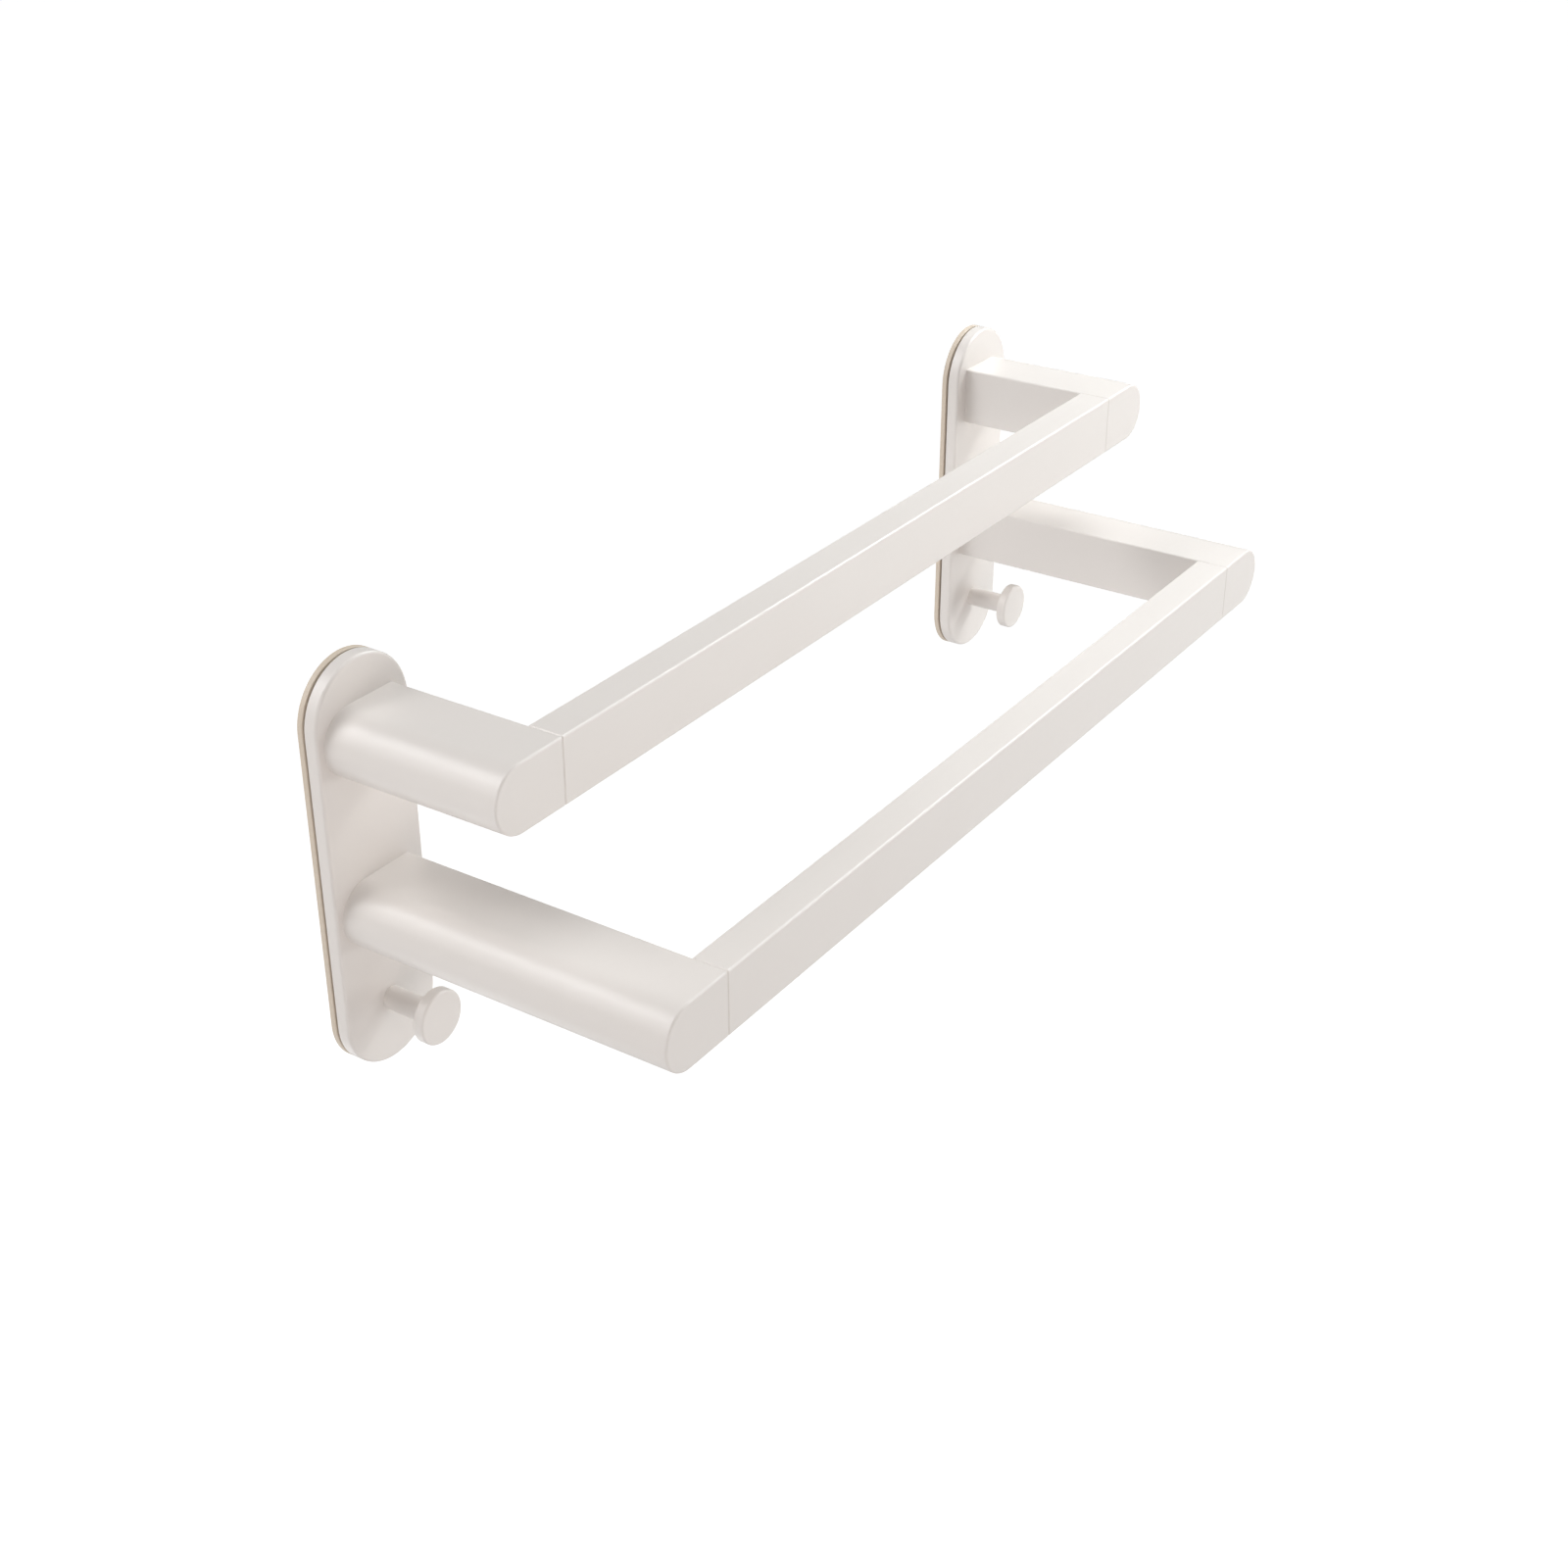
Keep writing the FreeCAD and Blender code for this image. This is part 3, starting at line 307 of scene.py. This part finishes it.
@dataclass(frozen=True)
class PlatedSteel(Finish):
    """Plated or blackened steel: bare metal sheen, cloudy patches and a fine tumbled grain."""

    tint: Colour
    patch: Colour
    gloss_span: Span
    metal: float
    patches: Pattern = Pattern(160.0, detail=3.0)
    patch_span: Span = (0.42, 0.62)
    grain: Pattern = Pattern(2600.0, rough=0.6)
    grain_height: float = 6 * MICRON

    def wired(self) -> bpy.types.Material:
        """Wires the material: patches colour it, and the grain sets its bump and gloss.

        Returns:
            The new material.
        """
        graph = NodeGraph(self.name)
        patches = graph.spread(graph.noise(self.patches), span=self.patch_span)
        graph.set(Metallic=self.metal)
        graph.colour(graph.blend(patches, self.tint, self.patch))
        graph.relief(graph.noise(self.grain), self.grain_height, self.gloss_span)
        return graph.material


@dataclass(frozen=True)
class ExtrudedAluminium(Finish):
    """Bare extruded aluminium: fine die lines along X over a dull silver."""

    tint: Colour
    line_tint: Colour
    gloss_span: Span = (0.3, 0.46)
    metal: float = 1.0
    lines: Pattern = Pattern(2200.0, detail=3.0)
    line_stretch: Point = (0.012, 1.0, 1.0)
    line_height: float = 8 * MICRON

    def wired(self) -> bpy.types.Material:
        """Wires the material: the die lines set its colour, gloss and bump.

        Returns:
            The new material.
        """
        graph = NodeGraph(self.name)
        lines = graph.noise(self.lines, where=graph.stretched(self.line_stretch))
        graph.set(Metallic=self.metal)
        graph.colour(graph.blend(graph.spread(lines), self.tint, self.line_tint))
        graph.relief(lines, self.line_height, self.gloss_span)
        return graph.material


@dataclass(frozen=True)
class SoftRubber(Finish):
    """Matt rubber sheet: a fine grain with paler dusting on its high spots."""

    tint: Colour
    dust: Colour
    gloss_span: Span = (0.72, 0.88)
    grain: Pattern = Pattern(1500.0, detail=4.0, rough=0.6)
    dust_span: Span = (0.5, 0.8)
    grain_height: float = 30 * MICRON

    def wired(self) -> bpy.types.Material:
        """Wires the material: the grain sets its colour, gloss and bump.

        Returns:
            The new material.
        """
        graph = NodeGraph(self.name)
        grain = graph.noise(self.grain)
        graph.colour(graph.blend(graph.spread(grain, span=self.dust_span), self.tint, self.dust))
        graph.relief(grain, self.grain_height, self.gloss_span)
        return graph.material


@dataclass(frozen=True)
class MattFloor(Finish):
    """Plain pale floor with a barely clouded tone, lit from below like a light table."""

    tint: Colour
    shade: Colour
    glow: float
    gloss_span: Span = (0.7, 0.8)
    clouds: Pattern = Pattern(1.5)
    grain: Pattern = Pattern(90.0)
    grain_height: float = 60 * MICRON

    def wired(self) -> bpy.types.Material:
        """Wires the material: clouds colour it, and the grain sets its bump and gloss.

        Returns:
            The new material.
        """
        graph = NodeGraph(self.name)
        clouds = graph.spread(graph.noise(self.clouds))
        graph.set(Emission_Color=opaque(WHITE), Emission_Strength=self.glow)
        graph.colour(graph.blend(clouds, self.tint, self.shade))
        graph.relief(graph.noise(self.grain), self.grain_height, self.gloss_span)
        return graph.material


CREAM_COAT = PowderCoat("cream_powder_coat", (0.80, 0.755, 0.72), (0.785, 0.738, 0.702))
# Painted shade: the brackets carry the cream coat, and this tan-brown tone stands in for the shade
# and brown reflection on their sides.
BRACKET_COAT_PAINTED_SHADE = PowderCoat(
    "bracket_powder_coat", (0.68, 0.585, 0.48), (0.66, 0.565, 0.46), gloss_span=(0.48, 0.58)
)
# The liner is a real rubber spacer; its near-black brown is also painted shade that deepens the
# dark line of the gap between bracket and plate.
LINER_RUBBER_AND_PAINTED_SHADE = SoftRubber("liner_rubber_and_painted_seam_shade", (0.04, 0.021, 0.009), (0.065, 0.04, 0.022))
CLEAR_ZINC = PlatedSteel(
    "clear_zinc_plate", (0.60, 0.61, 0.63), (0.66, 0.645, 0.60),
    gloss_span=(0.28, 0.42), metal=1.0,
)
BLACK_OXIDE = PlatedSteel(
    "black_oxide_steel", (0.032, 0.03, 0.029), (0.055, 0.048, 0.042),
    gloss_span=(0.38, 0.55), metal=0.7,
)
BARE_ALUMINIUM = ExtrudedAluminium("extruded_aluminium", (0.78, 0.785, 0.79), (0.70, 0.705, 0.715))
STUDIO_FLOOR = MattFloor("studio_floor", (0.25, 0.249, 0.248), (0.24, 0.239, 0.238), glow=1.0)


def dress(node: str, finish: Finish) -> None:
    """Gives a node of the frame a finish in each of its material slots.

    Args:
        node: Name of the node.
        finish: Finish that it gets.
    """
    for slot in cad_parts[node].material_slots:
        slot.material = finish.material()
    LOG.info("%s dressed in %s", node, finish.name)


def ring_angles(around: int) -> np.ndarray:
    """One row with the angles of a ring's points, evenly spaced from 0."""
    return np.linspace(0.0, math.tau, around, endpoint=False)[None, :]


def ring_points(radius: np.ndarray, angle: np.ndarray, height: np.ndarray | float) -> np.ndarray:
    """Points of a grid of rings round Z: radius times the angle's cosine and sine, and the height.

    Args:
        radius: Radius by ring and angle, or by ring alone.
        angle: One row of angles.
        height: Height by ring, or one height for all.

    Returns:
        One row for each point, ring after ring.
    """
    across, along = radius * np.cos(angle), radius * np.sin(angle)
    level = np.broadcast_to(height, across.shape)
    return np.stack((across, along, level), axis=-1).reshape(-1, 3)


def grid_faces(rings: int, around: int) -> np.ndarray:
    """Quads of a grid of rings that closes on itself round the axis.

    Corner (i, j) of ring i and angle j joins (i, j + 1), (i + 1, j + 1) and (i + 1, j), with j
    counted round the ring.

    Args:
        rings: Number of rings.
        around: Points on each ring.

    Returns:
        Four vertex numbers for each quad.
    """
    ring, angle = np.meshgrid(np.arange(rings - 1), np.arange(around), indexing="ij")
    near, far = ring * around, (ring + 1) * around
    turned = (angle + 1) % around
    corners = (near + angle, near + turned, far + turned, far + angle)
    return np.stack(corners, axis=-1).reshape(-1, 4)


def fan_faces(pole: int, start: int, around: int, forward: bool) -> np.ndarray:
    """Triangles between a pole and a ring, which close the end of a grid.

    Args:
        pole: Vertex number of the pole.
        start: Vertex number where the ring starts.
        around: Points on the ring.
        forward: Whether the triangles follow the ring's own direction.

    Returns:
        Three vertex numbers for each triangle.
    """
    angle = np.arange(around)
    near, far = start + angle, start + (angle + 1) % around
    ends = (near, far) if forward else (far, near)
    return np.stack((np.full(around, pole), *ends), axis=-1)


def new_piece(
    name: str, vertices: np.ndarray, faces: list[list[int]], finish: Finish, crease: float
) -> bpy.types.Object:
    """Object at the origin with a smooth mesh whose sharp edges stay sharp.

    Args:
        name: Name of the piece.
        vertices: One row for each vertex.
        faces: Vertex numbers of each face.
        finish: Finish of the piece.
        crease: Angle in degrees from which an edge is sharp.

    Returns:
        The new object, linked to the scene.
    """
    mesh = bpy.data.meshes.new(name)
    mesh.from_pydata(vertices.tolist(), [], faces)
    mesh.shade_smooth()
    mesh.set_sharp_from_angle(angle=math.radians(crease))
    mesh.materials.append(finish.material())
    piece = bpy.data.objects.new(name, mesh)
    bpy.context.scene.collection.objects.link(piece)
    return piece


@dataclass(frozen=True)
class Screw:
    """One screw along its own +Z axis, with its driven end at Z = 0 and a hexagon socket in it."""

    head: HeadKind
    diameter: float
    length: float
    pitch: float
    socket_flats: float
    socket_depth: float
    head_diameter: float = 0.0
    head_height: float = 0.0
    tip_height: float = 0.0
    tip_share: float = 0.5
    around: int = 36
    rings_per_turn: int = 6
    fewest_rings: int = 2
    thread_share: float = 0.55
    bevel_share: float = 0.1
    edge_break: float = 0.2 * MM

    @property
    def radius(self) -> float:
        """Radius over the thread."""
        return self.diameter / 2

    @property
    def thread_depth(self) -> float:
        """Depth of the thread's groove."""
        return self.thread_share * self.pitch

    def head_rows(self) -> list[tuple[float, float]]:
        """Rings of the head, from its face to where the thread starts.

        Returns:
            Height and radius of each ring.
        """
        radius, head, soft = self.radius, self.head_diameter / 2, self.edge_break
        under = self.head_height
        if self.head is HeadKind.COUNTERSUNK:
            return [(0.0, head - 2 * soft), (soft, head - soft), (under, radius)]
        if self.head is HeadKind.CAP:
            return [(0.0, head - soft), (soft, head), (under, head), (under, radius)]
        return [(0.0, radius - soft), (soft, radius)]

    def tip_row(self) -> tuple[float, float, float]:
        """The tip: a cone on a screw that has a tip height, and a broken edge on the others.

        Returns:
            Height where the tip starts, and height and radius where it ends.
        """
        if self.tip_height:
            return self.length - self.tip_height, self.length, self.radius * self.tip_share
        return self.length - self.thread_depth, self.length, self.radius - self.thread_depth

    def rings(self) -> np.ndarray:
        """Rings of the screw in order: socket, head, thread and tip.

        Returns:
            A row for each ring: height, radius, share of the thread's depth and of the hexagon.
        """
        flat, bevel = self.socket_flats / 2, self.bevel_share * self.socket_flats
        corner = flat / math.cos(HEX_SIDE / 2)
        socket = [
            (self.socket_depth, flat, 0.0, 1.0),
            (bevel, flat, 0.0, 1.0),
            (0.0, corner + bevel / 2, 0.0, 0.0),
        ]
        head = [(height, radius, 0.0, 0.0) for height, radius in self.head_rows()]
        start, (stop, end, tip_radius) = head[-1][0], self.tip_row()
        count = max(self.fewest_rings, round((stop - start) / self.pitch * self.rings_per_turn))
        height = np.linspace(start, stop, count + 1)[1:]
        run_in = np.clip((height - start) / self.pitch, 0.0, 1.0)
        full = np.full_like(height, self.radius)
        thread = np.stack((height, full, run_in, np.zeros_like(height)), axis=-1)
        return np.vstack((socket, head, thread, [(end, tip_radius, 0.0, 0.0)]))

    def surface(self) -> tuple[np.ndarray, np.ndarray, np.ndarray]:
        """Closed surface of the screw over ring number and angle.

        At angle t and height z the radius is the ring's own radius, less a rounded groove of
        d * (1 - cos(2 pi z / pitch - t)) / 2, which climbs one pitch in each turn. Here d is the
        ring's share of the thread's depth. On the rings of the socket the radius is
        flat / cos(t mod 60 degrees - 30 degrees), a hexagon.

        Returns:
            Vertices, quads and the triangles at the two ends.
        """
        height, radius, share, hexed = (column[:, None] for column in self.rings().T)
        angle = ring_angles(self.around)
        wave = (1 - np.cos(math.tau * height / self.pitch - angle)) / 2
        groove = self.thread_depth * share * wave
        hexagon = 1 / np.cos(np.mod(angle, HEX_SIDE) - HEX_SIDE / 2)
        reach = np.where(hexed > 0, radius * hexagon, radius - groove)
        grid = ring_points(reach, angle, height)
        poles = np.array([(0.0, 0.0, self.socket_depth), (0.0, 0.0, self.length)])
        rings = len(height)
        floor = fan_faces(len(grid), 0, self.around, forward=False)
        tip = fan_faces(len(grid) + 1, (rings - 1) * self.around, self.around, forward=True)
        return np.vstack((grid, poles)), grid_faces(rings, self.around), np.vstack((floor, tip))


BRACKET_SCREW = Screw(
    HeadKind.COUNTERSUNK, diameter=3 * MM, length=5.5 * MM, pitch=0.5 * MM,
    socket_flats=2 * MM, socket_depth=1 * MM, head_diameter=5.5 * MM, head_height=1.25 * MM,
)
HOOK_SCREW = Screw(
    HeadKind.COUNTERSUNK, diameter=4 * MM, length=12 * MM, pitch=0.7 * MM,
    socket_flats=2.5 * MM, socket_depth=1.5 * MM, head_diameter=7.5 * MM, head_height=1.75 * MM,
)
ARM_SCREW = Screw(
    HeadKind.COUNTERSUNK, diameter=5 * MM, length=14 * MM, pitch=0.8 * MM,
    socket_flats=3 * MM, socket_depth=1.8 * MM, head_diameter=9.2 * MM, head_height=2.1 * MM,
)
JOINER_SCREW = Screw(
    HeadKind.CAP, diameter=4 * MM, length=28 * MM, pitch=0.7 * MM,
    socket_flats=3 * MM, socket_depth=2 * MM, head_diameter=7 * MM, head_height=4 * MM,
)
RAIL_GRUB = Screw(
    HeadKind.GRUB, diameter=4 * MM, length=4 * MM, pitch=0.7 * MM,
    socket_flats=2 * MM, socket_depth=1.5 * MM, tip_height=1 * MM,
)
LOCK_GRUB = Screw(
    HeadKind.GRUB, diameter=3 * MM, length=6.5 * MM, pitch=0.5 * MM,
    socket_flats=1.5 * MM, socket_depth=1.5 * MM, tip_height=0.8 * MM,
)


@dataclass(frozen=True)
class Station:
    """Where a screw stands: the middle of its driven end and the way that it points."""

    at: Point
    heading: Heading


@dataclass(frozen=True)
class ScrewGroup:
    """All screws of one kind, which stand for the frame's plain ones."""

    node: str
    body: Body
    slot: Slot
    finish: Finish
    screw: Screw
    stations: tuple[Station, ...]
    crease: float = 35.0

    def build(self) -> None:
        """Makes the threaded screws, rides them on their body and hides the plain ones.

        Each screw's vertices are the one screw's, turned to its heading and moved to its place.
        """
        vertices, quads, fans = self.screw.surface()
        turns = np.array([station.heading.value for station in self.stations], float)
        places = np.array([station.at for station in self.stations])
        everywhere = np.einsum("sij,vj->svi", turns, vertices) + places[:, None, :]
        points = everywhere.reshape(-1, 3)
        steps = (np.arange(len(self.stations)) * len(vertices))[:, None, None]
        sides = (quads[None] + steps).reshape(-1, 4).tolist()
        ends = (fans[None] + steps).reshape(-1, 3).tolist()
        piece = new_piece(f"threaded_{self.node}", points, sides + ends, self.finish, self.crease)
        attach(piece, self.body.value)
        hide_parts(self.node)
        LOG.info("%s built: %d screws in %s", piece.name, len(self.stations), self.finish.name)


@dataclass(frozen=True)
class Fasteners:
    """Every screw of the rack, placed by the sizes of what it holds."""

    plate_shift: float = 226 * MM
    plate_back: float = -3.5 * MM
    arm_flat: float = 210 * MM
    arm_screw_insets: tuple[float, float] = (9.5 * MM, 23.5 * MM)
    hook_rise: float = -59 * MM
    cleat_screw_across: float = 8 * MM
    cleat_screw_rise: float = 20 * MM
    lock_screw_across: float = 4.5 * MM
    lock_screw_rise: float = -72.5 * MM
    lock_grub_out: float = -6.25 * MM
    lock_grub_rise: float = -85.5 * MM
    joiner_head_shift: float = 191 * MM
    joiner_screw_rise: float = 6.05 * MM
    rail_grub_shift: float = 203 * MM
    rail_grub_drop: float = 13.55 * MM

    def bracket_screws(self, across: float, rise: float) -> tuple[Station, ...]:
        """Stations of the small screws that go through the back of both wall brackets.

        Args:
            across: Distance of a screw from the middle of its bracket.
            rise: Height of the screws.

        Returns:
            The stations.
        """
        return tuple(
            Station((side.value * self.plate_shift + way * across, 0.0, rise), Heading.INTO_ROOM)
            for side in Side
            for way in BOTH_WAYS
        )

    def arm_screws(self) -> tuple[Station, ...]:
        """Stations of the screws that hold the arms, behind both base plates.

        Returns:
            The stations.
        """
        return tuple(
            Station((side.value * place, self.plate_back, tier.rise), Heading.INTO_ROOM)
            for side in Side
            for tier in Tier
            for place in (self.arm_flat + inset for inset in self.arm_screw_insets)
        )

    def hook_screws(self) -> tuple[Station, ...]:
        """Stations of the screws that hold the hooks, behind both base plates.

        Returns:
            The stations.
        """
        places = ((side.value * self.plate_shift, self.plate_back, self.hook_rise) for side in Side)
        return tuple(Station(place, Heading.INTO_ROOM) for place in places)

    def joiner_screws(self) -> tuple[Station, ...]:
        """Stations of the cap screws that hold the joiners to the arms.

        Returns:
            The stations.
        """
        heading = {Side.LEFT: Heading.TO_LEFT, Side.RIGHT: Heading.TO_RIGHT}
        shift, lift = self.joiner_head_shift, self.joiner_screw_rise
        return tuple(
            Station((side.value * shift, -tier.out, tier.rise + way * lift), heading[side])
            for side in Side
            for tier in Tier
            for way in BOTH_WAYS
        )

    def rail_grubs(self) -> tuple[Station, ...]:
        """Stations of the grub screws under the rails' ends.

        Returns:
            The stations.
        """
        shift, drop = self.rail_grub_shift, self.rail_grub_drop
        return tuple(
            Station((side.value * shift, -tier.out, tier.rise - drop), Heading.UP)
            for side in Side
            for tier in Tier
        )

    def lock_grubs(self) -> tuple[Station, ...]:
        """Stations of the grub screws in the feet of the base plates.

        Returns:
            The stations.
        """
        shift, out, rise = self.plate_shift, self.lock_grub_out, self.lock_grub_rise
        return tuple(Station((side.value * shift, out, rise), Heading.UP) for side in Side)

    def groups(self) -> tuple[ScrewGroup, ...]:
        """The screws of each kind with their sizes, finish and stations.

        Returns:
            The groups, in the order in which they are made.
        """
        wall, rack = Body.WALL, Body.RACK
        zinc, dark = (Slot.ZINC, CLEAR_ZINC), (Slot.DARK, BLACK_OXIDE)
        cleats = self.bracket_screws(self.cleat_screw_across, self.cleat_screw_rise)
        tabs = self.bracket_screws(self.lock_screw_across, self.lock_screw_rise)
        return (
            ScrewGroup("hanger_screws", wall, *zinc, BRACKET_SCREW, cleats),
            ScrewGroup("lock_tab_screws", wall, *zinc, BRACKET_SCREW, tabs),
            ScrewGroup("arm_screws", rack, *zinc, ARM_SCREW, self.arm_screws()),
            ScrewGroup("hook_screws", rack, *zinc, HOOK_SCREW, self.hook_screws()),
            ScrewGroup("joiner_screws", rack, *zinc, JOINER_SCREW, self.joiner_screws()),
            ScrewGroup("rail_grub_screws", rack, *dark, RAIL_GRUB, self.rail_grubs()),
            ScrewGroup("lock_grub_screws", rack, *dark, LOCK_GRUB, self.lock_grubs()),
        )

    def build(self) -> None:
        """Makes every group of screws, and dresses the plain ones that they stand for."""
        for group in self.groups():
            group.build()
            dress(group.node, group.finish)


@dataclass(frozen=True)
class WallMount:
    """The two wall brackets with their liners, cleats and lock tabs."""

    # The bracket finish is cream coat darkened to a tan-brown: painted shade and painted
    # reflection.
    bracket: Finish = BRACKET_COAT_PAINTED_SHADE
    # Liner finish: real rubber, darkened as painted shade in the gap.
    liner: Finish = LINER_RUBBER_AND_PAINTED_SHADE
    fitting: Finish = CLEAR_ZINC

    def dress(self) -> None:
        """Dresses the pieces that stay on the wall."""
        for side in Side:
            dress(side.node("wall_bracket"), self.bracket)
            dress(side.node("bracket_liner"), self.liner)
            dress(side.node("hanger_cleat"), self.fitting)
            dress(side.node("lock_tab"), self.fitting)


@dataclass(frozen=True)
class RackFrame:
    """The base plates, arms and rails with the joiners inside them."""

    coat: Finish = CREAM_COAT
    joiner: Finish = BARE_ALUMINIUM

    def dress(self) -> None:
        """Dresses the pieces of the lift-off frame."""
        for side in Side:
            dress(side.node("base_plate"), self.coat)
            for tier in Tier:
                dress(side.node(tier.node("arm")), self.coat)
                dress(side.node(tier.node("joiner")), self.joiner)
        for tier in Tier:
            dress(tier.node("rail"), self.coat)


@dataclass(frozen=True)
class HookPair:
    """The two turned hooks at the feet of the base plates."""

    coat: Finish = CREAM_COAT

    def dress(self) -> None:
        """Dresses both hooks."""
        for side in Side:
            dress(side.node("hook"), self.coat)


@dataclass(frozen=True)
class SoftBox:
    """A rectangular studio lamp that faces a point."""

    name: str
    at: Point
    size: tuple[float, float]
    power: float
    tint: Colour = WHITE
    aim: Point = (0.0, -0.06, 0.0)

    def hang(self) -> None:
        """Makes the lamp, out of the camera's sight."""
        lamp = bpy.data.lights.new(self.name, "AREA")
        lamp.shape = "RECTANGLE"
        lamp.size, lamp.size_y = self.size
        lamp.energy, lamp.color = self.power, self.tint
        holder = bpy.data.objects.new(self.name, lamp)
        holder.location = self.at
        facing = Vector(self.aim) - Vector(self.at)
        holder.rotation_euler = facing.to_track_quat("-Z", "Y").to_euler()
        holder.visible_camera = False
        bpy.context.scene.collection.objects.link(holder)
        LOG.info("%s hung", self.name)


@dataclass(frozen=True)
class Studio:
    """Pale floor, soft lamps, even surroundings and the camera."""

    floor_level: float = -1.0
    floor_radius: float = 40.0
    floor_rings: int = 24
    floor_around: int = 96
    floor_crease: float = 30.0
    floor: Finish = STUDIO_FLOOR
    fill: float = 0.02
    fill_tint: Colour = (1.0, 0.985, 0.965)
    lamps: tuple[SoftBox, ...] = (
        SoftBox("table_softbox", (0.0, 0.0, -0.98), (40.0, 40.0), 3400.0, aim=(0.0, 0.0, 0.0)),
        SoftBox("overhead_softbox", (0.0, -0.3, 2.0), (2.6, 2.0), 16.2),
        SoftBox("left_high_softbox", (-0.95, 0.95, 1.45), (0.8, 0.8), 8.4),
        SoftBox("left_wide_softbox", (-1.33, 1.11, 1.09), (1.4, 1.4), 12.7),
        SoftBox("left_middle_softbox", (-1.6, -0.3, 0.5), (0.6, 0.6), 3.0),
        SoftBox("left_low_softbox", (-1.3, -1.2, -0.3), (1.0, 1.0), 3.5, WARM_LIGHT),
        SoftBox(
            "left_under_softbox", (-0.28, 0.6, -0.72), (0.5, 0.5), 0.8, aim=(-0.23, -0.07, 0.02)
        ),
        SoftBox("front_low_softbox", (-0.5, -1.8, 0.2), (1.0, 1.0), 5.1, WARM_LIGHT),
        SoftBox("right_low_softbox", (0.75, -1.1, -0.05), (0.5, 0.5), 4.4, COOL_LIGHT),
        SoftBox("right_key_softbox", (1.0, -0.6, 0.7), (0.25, 0.25), 3.0, COOL_LIGHT),
        SoftBox("right_top_softbox", (0.6, -0.2, 0.6), (0.5, 0.5), 4.8, COOL_LIGHT),
        SoftBox("back_softbox", (0.0, 1.8, -0.1), (1.8, 0.6), 9.0),
    )
    camera_at: Point = (-0.7421, -0.5324, 0.4298)
    camera_azimuth: float = -56.41
    camera_elevation: float = 28.805
    camera_lens: float = 51.82
    camera_sensor: float = 36.0

    def lay_floor(self) -> None:
        """Makes the floor, a level disc of rings whose radii grow by the square of their number.

        The camera alone sees it: the table lamp just above it lights the object from below.
        """
        share = np.linspace(0.0, 1.0, self.floor_rings + 1)[1:, None]
        radius = share ** 2 * self.floor_radius
        grid = ring_points(radius, ring_angles(self.floor_around), self.floor_level)
        vertices = np.vstack((grid, [(0.0, 0.0, self.floor_level)]))
        quads = grid_faces(self.floor_rings, self.floor_around)[:, ::-1].tolist()
        fan = fan_faces(len(grid), 0, self.floor_around, forward=True).tolist()
        floor = new_piece("floor", vertices, quads + fan, self.floor, self.floor_crease)
        floor.visible_diffuse = floor.visible_glossy = False
        LOG.info("floor laid")

    def light(self) -> None:
        """Sets even surroundings, which the camera sees as plain white, and hangs the lamps."""
        world = bpy.data.worlds.new("surroundings")
        world.use_nodes = True
        nodes, links = world.node_tree.nodes, world.node_tree.links
        fill, backdrop = nodes["Background"], nodes.new("ShaderNodeBackground")
        fill.inputs["Color"].default_value = opaque(self.fill_tint)
        fill.inputs["Strength"].default_value = self.fill
        backdrop.inputs["Color"].default_value = opaque(WHITE)
        path, mix = nodes.new("ShaderNodeLightPath"), nodes.new("ShaderNodeMixShader")
        links.new(path.outputs["Is Camera Ray"], mix.inputs[SHADER_SHARE])
        links.new(fill.outputs["Background"], mix.inputs[SHADER_A])
        links.new(backdrop.outputs["Background"], mix.inputs[SHADER_B])
        links.new(mix.outputs["Shader"], nodes["World Output"].inputs["Surface"])
        bpy.context.scene.world = world
        for lamp in self.lamps:
            lamp.hang()

    def stand_camera(self) -> None:
        """Stands the camera at the photograph's viewing angle."""
        data = bpy.data.cameras.new("camera")
        data.lens, data.sensor_width = self.camera_lens, self.camera_sensor
        camera = bpy.data.objects.new("camera", data)
        camera.location = self.camera_at
        tilt = math.radians(RIGHT_ANGLE - self.camera_elevation)
        camera.rotation_euler = (tilt, 0.0, math.radians(self.camera_azimuth))
        bpy.context.scene.collection.objects.link(camera)
        bpy.context.scene.camera = camera
        bpy.context.scene.view_settings.view_transform = "Standard"
        LOG.info("camera stands")

    def build(self) -> None:
        """Lays the floor, lights the scene and stands the camera."""
        self.lay_floor()
        self.light()
        self.stand_camera()


def main() -> None:
    """Builds and dresses each sub-assembly, then the studio around them."""
    logging.basicConfig(level=logging.INFO, format="%(name)s: %(message)s")
    WallMount().dress()
    RackFrame().dress()
    HookPair().dress()
    Fasteners().build()
    Studio().build()


if __name__ == "__main__":
    main()
